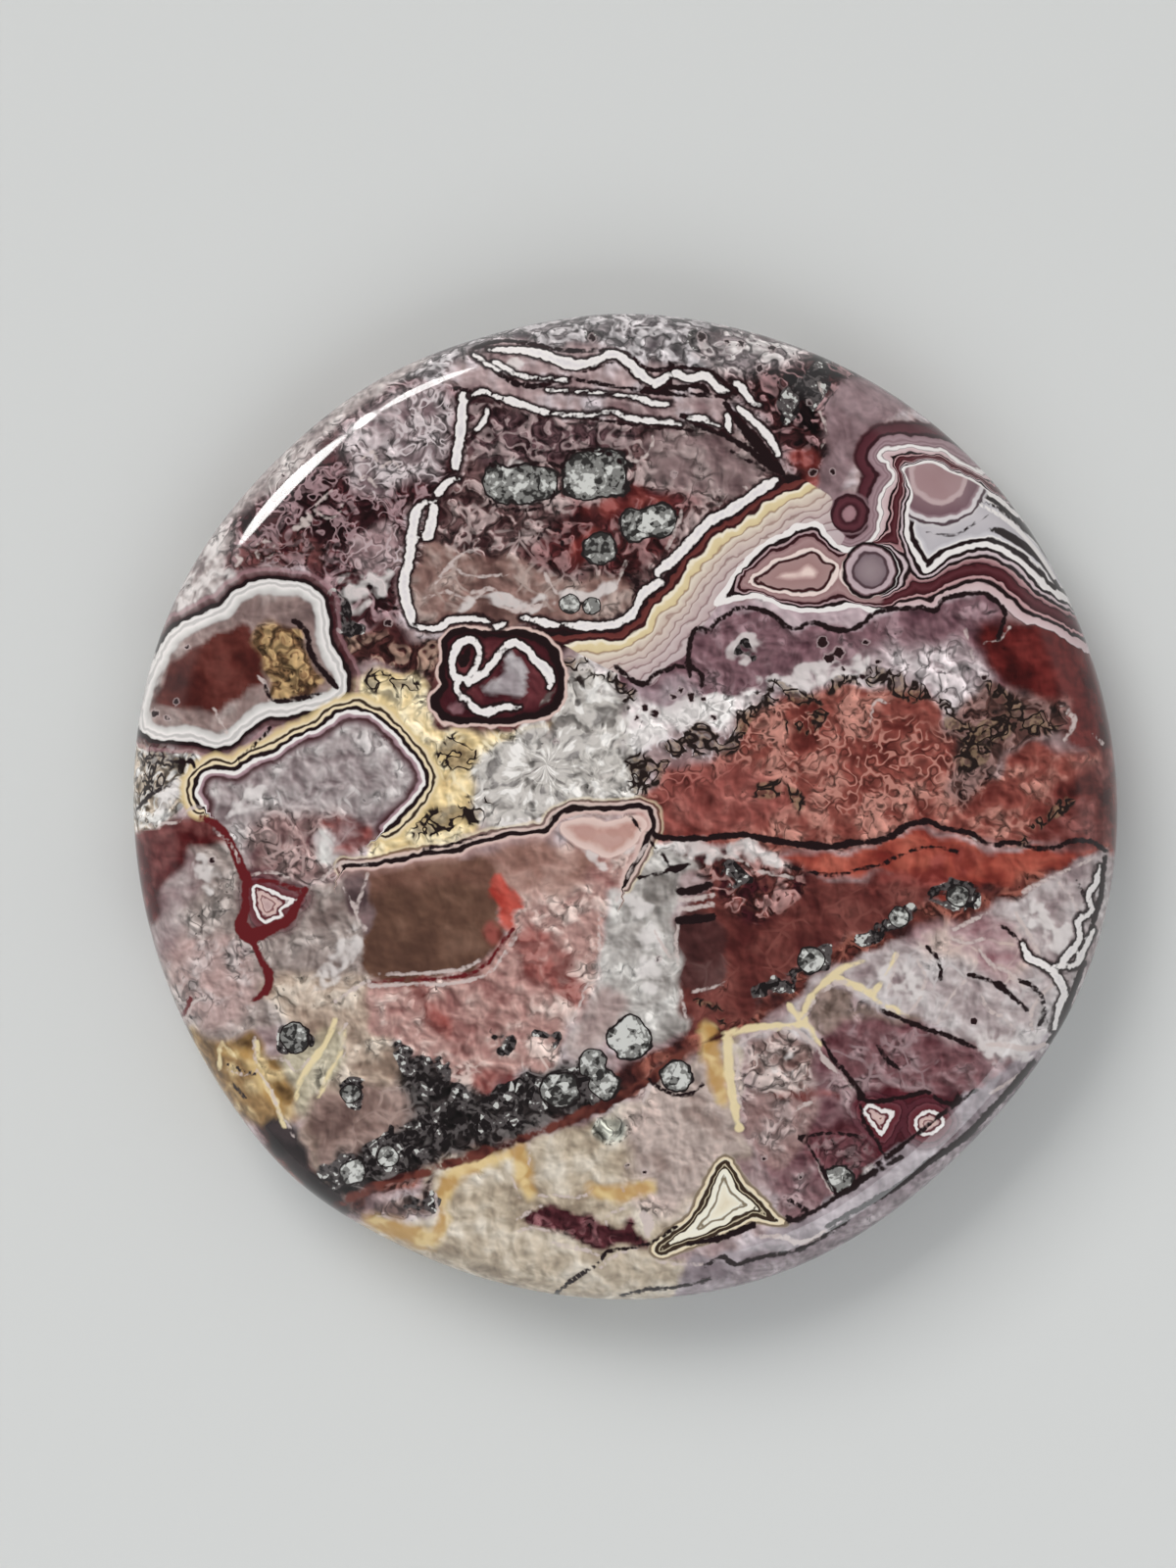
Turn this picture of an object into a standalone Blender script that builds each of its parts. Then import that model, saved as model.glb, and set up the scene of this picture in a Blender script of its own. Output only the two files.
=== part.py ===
"""A crazy lace agate cabochon: one polished stone, nearly round, with a low domed top,
rounded shoulders all the way round and a gently curved back that ends in a flat spot.

The stone lies on its back. The origin is the middle of the stone's footprint on the
surface below, +Z is up through the dome, and +Y is the top of the face as it is shown.
Lengths are in millimetres and are turned into metres where the mesh is made.
"""

import math

import bpy

METRES_PER_MM = 0.001
STONE_NAME = "agate_cabochon"

# The widest line of the stone, called the girdle, is a circle of this radius with lobes.
GIRDLE_RADIUS = 26.07
# Each lobe is (direction in degrees from +X, outward growth, half-width in degrees).
LOBES = (
    (-45.0, -0.60, 20.0),
    (22.0, -0.16, 20.0),
    (90.0, 0.14, 10.0),
    (120.0, 0.16, 10.0),
    (157.0, 0.29, 20.0),
    (228.0, 0.31, 11.0),
)

# The cross-section, from the middle of the top, over the girdle, to the flat spot.
DOME_SLOPE = math.radians(8.0)
TOP_SHOULDER_RADIUS = 3.1
BACK_SHOULDER_RADIUS = 2.5
BACK_SLOPE = math.radians(6.0)
FLAT_SPOT_RADIUS = 12.0

# How finely the faceted solid follows the arcs.
TURN_STEPS = 96
DOME_STEPS = 8
TOP_SHOULDER_STEPS = 8
BACK_SHOULDER_STEPS = 7
BACK_STEPS = 3

MERGE_DISTANCE = 0.00001
STONE_COLOUR = (0.33, 0.17, 0.16, 1.0)
STONE_ROUGHNESS = 0.12


def clear_scene():
    for obj in list(bpy.data.objects):
        bpy.data.objects.remove(obj)


def collection_named(name):
    collection = bpy.data.collections.new(name)
    bpy.context.scene.collection.children.link(collection)
    return collection


def stone_material():
    material = bpy.data.materials.new("polished_agate")
    material.use_nodes = True
    shader = material.node_tree.nodes["Principled BSDF"]
    shader.inputs["Base Color"].default_value = STONE_COLOUR
    shader.inputs["Roughness"].default_value = STONE_ROUGHNESS
    shader.inputs["Metallic"].default_value = 0.0
    return material


def girdle_growth(angle):
    """How far the girdle stands outside its circle in this direction."""
    growth = 0.0
    for direction, height, half_width in LOBES:
        away = (math.degrees(angle) - direction + 180.0) % 360.0 - 180.0
        growth += height * math.exp(-((away / half_width) ** 2))
    return growth


def arc(centre, radius, first_tilt, last_tilt, steps):
    """Points (radius, height) of an arc whose outward side tilts from first to last.

    A tilt of 0 faces up, 90 degrees faces outwards and 180 degrees faces down."""
    points = []
    for step in range(steps + 1):
        tilt = first_tilt + (last_tilt - first_tilt) * step / steps
        points.append(
            (centre[0] + radius * math.sin(tilt), centre[1] + radius * math.cos(tilt))
        )
    return points


def cross_section():
    """Points (radius, height) from the top's middle to the flat spot's middle."""
    outward = math.pi / 2
    downward = math.pi
    back_reach = GIRDLE_RADIUS - BACK_SHOULDER_RADIUS * (1 - math.sin(BACK_SLOPE))
    back_radius = (back_reach - FLAT_SPOT_RADIUS) / math.sin(BACK_SLOPE)
    girdle_height = back_radius * (1 - math.cos(BACK_SLOPE))
    girdle_height += BACK_SHOULDER_RADIUS * math.cos(BACK_SLOPE)

    dome_reach = GIRDLE_RADIUS - TOP_SHOULDER_RADIUS * (1 - math.sin(DOME_SLOPE))
    dome_radius = dome_reach / math.sin(DOME_SLOPE)
    dome_base = girdle_height + TOP_SHOULDER_RADIUS * math.cos(DOME_SLOPE)
    dome_centre = (0.0, dome_base - dome_radius * math.cos(DOME_SLOPE))

    top_centre = (GIRDLE_RADIUS - TOP_SHOULDER_RADIUS, girdle_height)
    back_centre = (GIRDLE_RADIUS - BACK_SHOULDER_RADIUS, girdle_height)
    dome = arc(dome_centre, dome_radius, 0.0, DOME_SLOPE, DOME_STEPS)
    top_shoulder = arc(
        top_centre, TOP_SHOULDER_RADIUS, DOME_SLOPE, outward, TOP_SHOULDER_STEPS
    )
    back_shoulder = arc(
        back_centre,
        BACK_SHOULDER_RADIUS,
        outward,
        downward - BACK_SLOPE,
        BACK_SHOULDER_STEPS,
    )
    back = arc(
        (FLAT_SPOT_RADIUS, back_radius),
        back_radius,
        downward - BACK_SLOPE,
        downward,
        BACK_STEPS,
    )
    return dome + top_shoulder[1:] + back_shoulder[1:] + back[1:] + [(0.0, 0.0)]


def turned_blank(collection):
    """The stone as it would be if it were truly round: the cross-section, turned."""
    points = [
        (radius * METRES_PER_MM, 0.0, height * METRES_PER_MM)
        for radius, height in cross_section()
    ]
    edges = [(i, i + 1) for i in range(len(points) - 1)]
    mesh = bpy.data.meshes.new(STONE_NAME)
    mesh.from_pydata(points, edges, [])
    blank = bpy.data.objects.new(STONE_NAME + "_blank", mesh)
    collection.objects.link(blank)
    screw = blank.modifiers.new("turn", "SCREW")
    screw.axis = "Z"
    screw.angle = 2 * math.pi
    screw.steps = TURN_STEPS
    screw.render_steps = TURN_STEPS
    screw.use_merge_vertices = True
    screw.merge_threshold = MERGE_DISTANCE
    return blank


def shape_girdle(mesh):
    """Moves the turned blank's points in or out, so that its girdle has its lobes.

    The move fades to nothing at the flat spot and at the middle of the top."""
    girdle = GIRDLE_RADIUS * METRES_PER_MM
    for vertex in mesh.vertices:
        x, y, _ = vertex.co
        share = math.hypot(x, y) / girdle
        growth = girdle_growth(math.atan2(y, x)) * METRES_PER_MM / girdle
        vertex.co.x = x * (1 + growth * share)
        vertex.co.y = y * (1 + growth * share)


def centre_footprint(mesh):
    """Puts the middle of the stone's own width and depth over the origin."""
    xs = [vertex.co.x for vertex in mesh.vertices]
    ys = [vertex.co.y for vertex in mesh.vertices]
    middle_x = (min(xs) + max(xs)) / 2
    middle_y = (min(ys) + max(ys)) / 2
    for vertex in mesh.vertices:
        vertex.co.x -= middle_x
        vertex.co.y -= middle_y


def agate_cabochon(collection):
    blank = turned_blank(collection)
    graph = bpy.context.evaluated_depsgraph_get()
    mesh = bpy.data.meshes.new_from_object(blank.evaluated_get(graph))
    bpy.data.objects.remove(blank)
    shape_girdle(mesh)
    centre_footprint(mesh)
    mesh.name = STONE_NAME
    mesh.materials.clear()
    mesh.materials.append(stone_material())
    mesh.shade_smooth()
    stone = bpy.data.objects.new(STONE_NAME, mesh)
    collection.objects.link(stone)
    return stone


def main():
    clear_scene()
    agate_cabochon(collection_named("crazy_lace_agate_cabochon"))


main()
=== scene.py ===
"""The looks of the crazy lace agate cabochon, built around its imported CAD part.

One finely meshed stone stands for the CAD node. Each feature of the pattern, such as a
clast, a vein or an orb, is drawn as a few named points. The script measures how far every
vertex is from the features, and the stone's node material turns those distances into
bands, rims, fills and veins, and adds the fine grain.

Feature points are in picture units: x to the right and y down, in a frame 1200 wide and
1600 high. Lengths of the stone are in millimetres until the mesh is made.
"""

import math

import bpy
import numpy as np
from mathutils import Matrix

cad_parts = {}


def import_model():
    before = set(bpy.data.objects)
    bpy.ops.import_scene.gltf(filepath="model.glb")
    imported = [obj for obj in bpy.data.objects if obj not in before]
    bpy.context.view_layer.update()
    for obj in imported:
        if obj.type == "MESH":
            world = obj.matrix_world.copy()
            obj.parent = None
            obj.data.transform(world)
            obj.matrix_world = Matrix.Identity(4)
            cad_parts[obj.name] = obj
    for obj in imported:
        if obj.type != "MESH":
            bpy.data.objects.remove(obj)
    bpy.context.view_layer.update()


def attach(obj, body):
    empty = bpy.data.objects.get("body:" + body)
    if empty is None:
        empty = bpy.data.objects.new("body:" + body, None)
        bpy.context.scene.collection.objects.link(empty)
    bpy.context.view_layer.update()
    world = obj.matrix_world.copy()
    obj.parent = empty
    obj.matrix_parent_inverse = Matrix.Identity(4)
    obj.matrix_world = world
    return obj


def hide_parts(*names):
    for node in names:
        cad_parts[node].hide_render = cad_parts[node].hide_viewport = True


METRES_PER_MM = 0.001
STONE_NODE = "agate_cabochon"

# The picture's frame: where its middle and the stone's middle are, and its scale.
PICTURE_MIDDLE = (600.0, 800.0)
STONE_MIDDLE = (638.0, 823.0)
PICTURE_HEIGHT = 1600.0
MM_PER_UNIT = 0.052
METRES_PER_UNIT = MM_PER_UNIT * METRES_PER_MM
CAMERA_HEIGHT = 210.0
SENSOR_SIZE = 36.0
# The nearest and the farthest that the camera sees, in metres.
CLIP_START = 0.001
CLIP_END = 10.0

# The stone's shape, with the same driving dimensions as its CAD source.
GIRDLE_RADIUS = 26.07
LOBES = (
    (-45.0, -0.60, 20.0),
    (22.0, -0.16, 20.0),
    (90.0, 0.14, 10.0),
    (120.0, 0.16, 10.0),
    (157.0, 0.29, 20.0),
    (228.0, 0.31, 11.0),
)
DOME_SLOPE = math.radians(8.0)
TOP_SHOULDER_RADIUS = 3.1
BACK_SHOULDER_RADIUS = 2.5
BACK_SLOPE = math.radians(6.0)
FLAT_SPOT_RADIUS = 12.0

# What follows from them: how far out the back and the dome reach, the radius that each is
# curved to, and how high the girdle and the middle of the dome's curve are.
BACK_REACH = GIRDLE_RADIUS - BACK_SHOULDER_RADIUS * (1 - math.sin(BACK_SLOPE))
BACK_RADIUS = (BACK_REACH - FLAT_SPOT_RADIUS) / math.sin(BACK_SLOPE)
BACK_RISE = BACK_RADIUS * (1 - math.cos(BACK_SLOPE))
GIRDLE_HEIGHT = BACK_RISE + BACK_SHOULDER_RADIUS * math.cos(BACK_SLOPE)
DOME_REACH = GIRDLE_RADIUS - TOP_SHOULDER_RADIUS * (1 - math.sin(DOME_SLOPE))
DOME_RADIUS = DOME_REACH / math.sin(DOME_SLOPE)
DOME_BASE = GIRDLE_HEIGHT + TOP_SHOULDER_RADIUS * math.cos(DOME_SLOPE)
DOME_CENTRE = DOME_BASE - DOME_RADIUS * math.cos(DOME_SLOPE)
# How far under the girdle a point counts as below it.
BELOW_GIRDLE = 0.001

# How finely the stone is meshed.
DOME_RINGS = 122
TOP_SHOULDER_RINGS = 20
BACK_SHOULDER_RINGS = 14
BACK_RINGS = 90
RING_GROWTH = 6
SIDE_RING_POINTS = 792

# How the pattern turns under the stone, so that the back isn't the face again.
BACK_TURN = math.radians(40.0)
BACK_SHIFT = (70.0, -96.0)
BACK_FADE = 0.8

# The slow waves that soft edges are moved in: how far the long, bent wave and the short,
# slanting one move a spot, how strongly the long one bends, and for each direction the
# long wave's length, its bend's, the short wave's and its slant's.
LONG_STRAY = 3.5
SHORT_STRAY = 2.0
BEND = 2.0
WAVES_ACROSS = (13.0, 19.0, 5.3, 9.0)
WAVES_DOWN = (12.0, 17.0, 5.7, -8.0)

# How far from a feature its distance is still measured, and how finely curves are cut.
REACH = 34.0
LACE_TOP_REACH = 42.0
FRINGE_REACH = 90.0
CURVE_STEPS = 4
SHORTEST_PIECE = 1e-9
# How far short of the reach the bands beside an open line start to fade, and are gone.
SIDE_FADE_START = 8.0
SIDE_FADE_END = 4.0

# Colours as they look in soft white light, from 0 to 255 for red, green and blue.
INK = (30, 16, 18)
BLACK = (44, 36, 36)
DEEP_MAROON = (62, 22, 28)
LILAC_MAROON = (146, 106, 112)
MAUVE = (132, 106, 108)
MAUVE_LIGHT = (170, 148, 148)
LILAC = (172, 156, 160)
LILAC_LIGHT = (200, 188, 192)
LILAC_DARK = (118, 92, 100)
GREY_PINK = (186, 172, 170)
GREY = (150, 146, 144)
GREY_LIGHT = (196, 192, 190)
PALE_GREY = (212, 209, 206)
WHITE = (236, 230, 228)
CREAM = (232, 214, 182)
YELLOW_CREAM = (222, 198, 148)
OLIVE_BROWN = (92, 74, 54)
UMBER = (58, 44, 34)
PINK = (196, 158, 150)
PINK_LIGHT = (216, 188, 180)
PINK_DARK = (168, 128, 124)
CREAM_GREY = (192, 180, 168)
CREAM_PINK = (206, 184, 176)
MILKY_WHITE = (226, 219, 217)
CREAM_VEIN_COLOUR = (232, 214, 170)
OLIVE_NET_COLOUR = (34, 24, 22)
ORB_RIM_COLOUR = (34, 28, 28)
PORE_HALO_COLOUR = (190, 172, 172)
PORE_COLOUR = (38, 20, 22)
RED_LINE_COLOUR = (98, 28, 32)
PALE_LINE_COLOUR = (206, 190, 186)

# The ground where no area covers it: its three tones, and how busy it is.
OPEN_TONES = (MAUVE, MAUVE_LIGHT, LILAC_LIGHT)
OPEN_BUSY = 0.4

# The egg-shaped fragment at the left edge, and the two fills inside it.
EGG = (
    (140, 742), (139, 715), (147, 690), (158, 668), (172, 645), (190, 633), (212, 623),
    (226, 616), (236, 604), (248, 596), (268, 591), (290, 592), (308, 594), (324, 602),
    (334, 614), (336, 634), (338, 654), (347, 672), (356, 692), (352, 708), (342, 719),
    (320, 725), (296, 731), (270, 733), (256, 744), (238, 759), (220, 764), (204, 759),
    (190, 756), (166, 757), (150, 752),
)
EGG_RED_FILL = (
    (160, 716), (164, 694), (180, 672), (202, 656), (232, 644), (252, 642), (264, 656),
    (266, 690), (258, 704), (236, 712), (206, 728), (180, 724),
)
EGG_OCHRE_FILL = (
    (262, 642), (276, 634), (300, 640), (308, 656), (316, 676), (332, 694), (330, 704),
    (312, 708), (290, 712), (276, 712), (272, 696), (266, 676),
)

# The shield-shaped fragment beside it, and the open line that its rim bands follow.
SHIELD = (
    (206, 822), (199, 810), (203, 794), (218, 784), (238, 787), (252, 777), (277, 767),
    (300, 753), (325, 742), (345, 728), (365, 724), (385, 731), (400, 744), (415, 762),
    (430, 780), (434, 797), (427, 812), (412, 830), (394, 846), (376, 862), (356, 878),
    (332, 894), (316, 905), (296, 906), (268, 896), (252, 888), (240, 866), (226, 846),
)
SHIELD_RIM = SHIELD[:19]

# The maroon-ringed fragment in the middle.
RING = (
    (448, 690), (452, 670), (452, 652), (466, 642), (500, 643), (540, 645), (560, 656),
    (572, 676), (575, 704), (568, 722), (546, 733), (512, 738), (482, 738), (458, 737),
    (444, 726), (441, 712), (450, 700),
)
RING_CORE = (
    (487, 703), (500, 692), (514, 679), (522, 668), (535, 680), (541, 693), (534, 701),
    (520, 707), (502, 709),
)
RING_KNOB = ((462, 712), (471, 716), (470, 726), (460, 729), (454, 722))

# Areas of the ground, painted one over the other: the outline, how soft its edge is, its
# dark, middle and light tones, how much more of it is light, and how busy it is.
AREAS = (
    # The cap along the top edge, and the dark speckled ground to its right.
    (((380, 384), (470, 300), (700, 280), (860, 320), (900, 372), (800, 402), (745, 396),
      (700, 376), (650, 366), (620, 354), (560, 352), (500, 350), (470, 372), (430, 392)),
     6, (84, 74, 78), (140, 132, 134), (190, 184, 186), 0.0, 0.8),
    (((716, 352), (750, 330), (800, 320), (880, 360), (870, 396), (850, 412), (846, 460),
      (835, 504), (806, 500), (800, 470), (770, 416), (744, 398), (728, 380)),
     10, (22, 10, 12), (64, 32, 34), (150, 116, 118), -0.03, 0.9),
    (((722, 346), (780, 322), (850, 344), (800, 372), (750, 380), (722, 366)),
     12, (90, 76, 78), (150, 138, 140), (206, 199, 198), 0.0, 0.7),
    (((852, 400), (900, 376), (930, 410), (908, 428), (890, 446), (876, 462), (868, 490),
      (860, 512), (834, 500), (842, 450)),
     5, (102, 80, 84), (126, 102, 106), (148, 124, 128), 0.0, 0.25),
    # The maroon ground of the upper left, with its paler lumps, and its pale edge strip, whose
    # pale grey is partly painted reflection of the pale surroundings in the curved shoulder.
    (((220, 560), (250, 520), (300, 486), (345, 430), (400, 392), (440, 390), (468, 398),
      (466, 480), (440, 512), (414, 530), (404, 620), (420, 652), (440, 668), (350, 668),
      (336, 620), (312, 588), (270, 572), (232, 596)),
     5, (42, 16, 20), (82, 44, 48), (154, 126, 130), -0.05, 0.75),
    # The pale edge strip: the stone's mottles under a pale grey that is partly painted reflection
    # of the surroundings in the shoulder.
    (((120, 700), (150, 620), (200, 520), (250, 450), (330, 370), (420, 340), (440, 362),
      (360, 420), (320, 462), (296, 492), (246, 524), (230, 560), (228, 596), (212, 630),
      (180, 652), (150, 690)),
     7, (116, 102, 102), (172, 160, 158), (206, 197, 195), 0.0, 0.45),
    (((352, 440), (398, 404), (452, 396), (462, 448), (448, 482), (420, 492), (396, 502),
      (362, 496), (352, 470)),
     9, (116, 96, 100), (164, 148, 150), (200, 188, 190), 0.0, 0.6),
    (((352, 560), (372, 540), (400, 536), (406, 560), (398, 590), (372, 584)),
     5, (112, 84, 88), (156, 130, 132), (180, 160, 162), 0.0, 0.5),
    (((240, 556), (300, 546), (330, 556), (322, 580), (270, 572), (236, 590)),
     7, DEEP_MAROON, (106, 62, 62), MAUVE, 0.0, 0.8),
    # The big angular fragment, its reddish matrix and its browner foot.
    (((478, 408), (560, 424), (650, 432), (735, 438), (800, 478), (790, 492), (740, 526),
      (690, 572), (652, 606), (642, 632), (560, 640), (480, 640), (425, 646), (418, 590),
      (426, 546), (446, 508), (470, 480)),
     3, (54, 30, 32), (108, 80, 80), (166, 146, 144), 0.0, 0.85),
    (((480, 412), (560, 426), (640, 434), (640, 452), (560, 470), (484, 470)),
     7, (48, 26, 30), (94, 68, 72), (150, 130, 130), 0.0, 0.85),
    (((660, 446), (730, 440), (790, 476), (740, 508), (700, 506), (666, 500)),
     7, (96, 74, 76), (132, 110, 110), (162, 144, 142), 0.0, 0.5),
    (((568, 500), (612, 514), (650, 498), (700, 502), (722, 514), (700, 528), (684, 560),
      (652, 582), (640, 602), (610, 578), (566, 582), (534, 566), (560, 544), (586, 520)),
     6, (44, 16, 18), (88, 40, 42), (142, 106, 106), 0.0, 0.8),
    (((430, 558), (470, 562), (530, 572), (566, 590), (600, 588), (640, 596), (640, 630),
      (560, 636), (480, 638), (426, 640), (421, 600)),
     4, (92, 64, 60), (134, 104, 97), (172, 152, 145), 0.0, 0.45),
    # The maroon belt below it.
    (((396, 632), (430, 654), (500, 644), (560, 644), (650, 652), (572, 662), (578, 690),
      (574, 720), (544, 742), (480, 748), (440, 738), (436, 700), (440, 668), (400, 672),
      (356, 672), (336, 640), (372, 648)),
     4, (38, 16, 18), (66, 30, 32), (104, 62, 60), 0.04, 0.5),
    (((346, 646), (400, 652), (446, 660), (440, 690), (400, 682), (356, 676)),
     7, (50, 24, 24), (84, 46, 44), (150, 122, 108), 0.0, 0.8),
    # The fills of the egg-shaped fragment.
    (EGG, 3, (112, 92, 90), (142, 120, 116), (170, 156, 152), 0.0, 0.3),
    (EGG_RED_FILL, 3, (60, 22, 20), (84, 36, 31), (106, 56, 50), 0.0, 0.15),
    (EGG_OCHRE_FILL, 3, (78, 52, 38), (132, 100, 70), (176, 146, 104), 0.0, 0.75),
    # The yellow ground of the middle, the white crystals and the speckled white ground.
    (((342, 700), (366, 690), (400, 686), (436, 690), (438, 736), (480, 748), (570, 740),
      (510, 762),
      (488, 800), (486, 850), (440, 868), (400, 874), (374, 888), (380, 850), (420, 826),
      (440, 796), (430, 766), (400, 730), (366, 716), (336, 722), (350, 700)),
     4, (176, 146, 98), (232, 207, 156), (246, 232, 198), 0.0, 0.45),
    (((556, 748), (572, 700), (600, 668), (640, 690), (648, 760), (652, 800), (664, 816),
      (640, 828), (560, 832), (500, 852), (480, 800), (488, 766), (520, 754)),
     7, (126, 120, 116), (190, 183, 178), (230, 225, 220), 0.03, 0.7),
    (((596, 656), (640, 666), (668, 690), (760, 690), (764, 730), (740, 742), (690, 744),
      (654, 768), (636, 760), (640, 716), (606, 696)),
     9, (148, 128, 130), (226, 214, 214), (246, 241, 239), 0.1, 0.6),
    # The lilac cloud below the lace, with its plum shade.
    (((706, 690), (704, 640), (730, 612), (790, 614), (850, 618), (900, 606), (960, 598),
      (1000, 592), (1030, 616), (1020, 652), (1030, 700), (900, 700), (780, 700)),
     3, (150, 126, 132), (180, 158, 164), (202, 184, 188), 0.0, 0.2),
    (((650, 640), (700, 636), (712, 646), (731, 634), (755, 621), (790, 628), (812, 642),
      (830, 636), (868, 643), (896, 625), (940, 620), (980, 607), (1005, 605), (1024, 626),
      (1020, 660), (1030, 700), (970, 744), (936, 700), (850, 696), (800, 716), (764, 704),
      (700, 716), (650, 712), (626, 690)),
     2, (86, 56, 64), (122, 90, 97), (160, 132, 138), 0.0, 0.5),
    (((770, 712), (800, 690), (850, 680), (904, 662), (960, 658), (1000, 668), (1012, 690),
      (1000, 720), (960, 744), (936, 704), (860, 704), (800, 722)),
     12, (132, 112, 116), (184, 167, 170), (218, 206, 208), 0.03, 0.6),
    (((640, 700), (668, 696), (700, 690), (712, 716), (680, 722), (648, 716)),
     6, LILAC_DARK, (150, 128, 134), LILAC, 0.0, 0.4),
    # The brick red jasper with its olive shade and deep red edge.
    (((656, 806), (700, 782), (750, 762), (758, 728), (800, 714), (850, 700), (930, 704),
      (970, 742), (990, 792), (1012, 790), (1050, 758), (1100, 764), (1160, 740), (1160, 864),
      (1090, 860), (1000, 862), (950, 845), (900, 858), (830, 870), (760, 864), (664, 856),
      (654, 832)),
     6, (94, 38, 34), (136, 72, 64), (184, 128, 116), 0.0, 0.5),
    (((664, 800), (720, 776), (780, 790), (800, 830), (740, 850), (666, 850)),
     14, (102, 44, 40), (138, 74, 68), (166, 102, 94), 0.0, 0.45),
    (((1000, 640), (1060, 628), (1120, 620), (1180, 740), (1160, 770), (1096, 764),
      (1076, 740), (1060, 716), (1020, 690)),
     9, (56, 14, 14), (84, 24, 23), (108, 40, 37), 0.0, 0.3),
    (((966, 740), (1000, 698), (1040, 704), (1090, 722), (1086, 750), (1040, 764),
      (1012, 790), (988, 820), (966, 800), (974, 762)),
     8, (46, 34, 32), (98, 66, 61), (142, 110, 105), 0.0, 0.7),
    (((1080, 800), (1160, 770), (1160, 862), (1050, 862), (1066, 836)),
     10, (60, 20, 19), (100, 44, 40), (136, 82, 78), 0.0, 0.4),
    # The orange-red band below the crossing line, and the darker jasper.
    (((660, 857), (760, 867), (830, 873), (900, 860), (950, 848), (1000, 866), (1090, 866),
      (1130, 866), (1130, 880), (1060, 900), (1000, 922), (940, 912), (900, 892), (840, 896),
      (780, 888), (700, 884)),
     3, (106, 34, 30), (148, 66, 54), (178, 94, 78), 0.0, 0.25),
    (((696, 880), (760, 874), (800, 886), (850, 898), (910, 890), (960, 906), (940, 932),
      (880, 954), (800, 1002), (762, 1040), (700, 1066), (690, 1000), (694, 940), (728, 900)),
     6, (74, 30, 29), (98, 48, 44), (124, 70, 64), -0.01, 0.35),
    (((660, 858), (700, 864), (780, 868), (806, 884), (780, 896), (710, 884), (668, 880)),
     4, (120, 104, 102), (218, 210, 208), (240, 235, 233), 0.1, 0.8),
    (((694, 872), (730, 866), (800, 880), (820, 900), (790, 940), (740, 930), (724, 900)),
     8, DEEP_MAROON, (104, 56, 52), PINK_DARK, -0.02, 0.9),
    (((692, 936), (726, 936), (744, 960), (736, 1004), (692, 1004)),
     2, (54, 27, 27), (76, 42, 41), (98, 68, 66), 0.0, 0.2),
    # The dark diagonal band.
    (((270, 1130), (330, 1196), (400, 1176), (480, 1146), (560, 1116), (640, 1082),
      (700, 1058), (760, 1036), (820, 986), (880, 950), (940, 926), (1000, 906), (1060, 890),
      (1124, 866), (1120, 882), (1052, 912), (1000, 932), (960, 950), (900, 966), (850, 990),
      (800, 1030), (740, 1060), (700, 1084), (640, 1120), (560, 1150), (480, 1186),
      (400, 1216), (340, 1244), (280, 1230)),
     4, (54, 26, 26), (100, 50, 44), (142, 86, 74), 0.0, 0.6),
    (((326, 1198), (340, 1150), (398, 1112), (402, 1068), (440, 1084), (476, 1106),
      (520, 1112), (540, 1094), (566, 1082), (604, 1080), (634, 1108), (600, 1136),
      (500, 1172), (404, 1206), (350, 1226)),
     8, (20, 17, 17), (50, 43, 43), (104, 98, 97), 0.0, 0.7),
    # The grey lilac ground of the lower left, with its red edge patch.
    (((120, 850), (206, 842), (240, 872), (268, 902), (322, 902), (378, 888), (380, 1000),
      (352, 1034), (300, 1046), (250, 1056), (196, 1066), (150, 1040)),
     5, (118, 102, 98), (154, 140, 135), (188, 176, 171), 0.0, 0.5),
    (((140, 850), (190, 860), (200, 900), (176, 980), (150, 980)),
     12, MAUVE, (148, 130, 130), GREY_PINK, 0.0, 0.3),
    (((180, 960), (250, 960), (262, 1010), (240, 1040), (190, 1040)),
     12, (166, 136, 132), (180, 154, 150), GREY_PINK, 0.0, 0.5),
    (((264, 1000), (380, 1000), (404, 1060), (400, 1110), (350, 1150), (334, 1200),
      (306, 1150), (320, 1080), (290, 1040)),
     8, (142, 120, 106), (184, 164, 148), (208, 194, 180), 0.0, 0.5),
    (((314, 1120), (400, 1110), (412, 1150), (350, 1176), (338, 1200), (316, 1160)),
     8, (94, 72, 68), (132, 108, 101), (168, 144, 136), 0.0, 0.3),
    (((120, 838), (184, 838), (206, 824), (226, 842), (238, 864), (200, 862), (180, 884),
      (166, 916), (150, 940), (120, 900)),
     5, (50, 10, 13), (78, 22, 24), (120, 70, 68), 0.0, 0.3),
    (((120, 762), (202, 766), (196, 800), (186, 824), (174, 838), (120, 840)),
     3, OLIVE_BROWN, (204, 188, 170), PALE_GREY, 0.04, 0.9),
    # The brown block, its pinkish shoulder and the pink ground to its right.
    (((380, 998), (470, 994), (514, 954), (504, 928), (504, 884), (566, 862), (640, 836),
      (662, 832), (662, 850), (640, 902), (616, 926), (612, 1000), (574, 1054), (566, 1084),
      (530, 1096), (480, 1112), (440, 1084), (400, 1062), (376, 1040)),
     4, (138, 94, 90), (180, 142, 135), (218, 196, 188), 0.0, 0.5),
    (((470, 876), (510, 864), (560, 858), (590, 868), (606, 884), (570, 916), (530, 912),
      (500, 900)),
     9, (126, 90, 80), (150, 113, 103), (182, 148, 138), 0.0, 0.25),
    (((376, 890), (400, 880), (460, 874), (504, 880), (504, 930), (512, 952), (492, 984),
      (470, 992), (378, 999)),
     2, (84, 58, 48), (100, 71, 58), (118, 88, 74), 0.0, 0.12),
    (((376, 890), (400, 880), (460, 874), (504, 880), (502, 904), (440, 902), (378, 912)),
     8, (98, 66, 56), (116, 82, 70), (130, 98, 84), 0.0, 0.12),
    (((503, 898), (513, 893), (530, 910), (540, 922), (524, 930), (518, 946), (508, 940),
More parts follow.
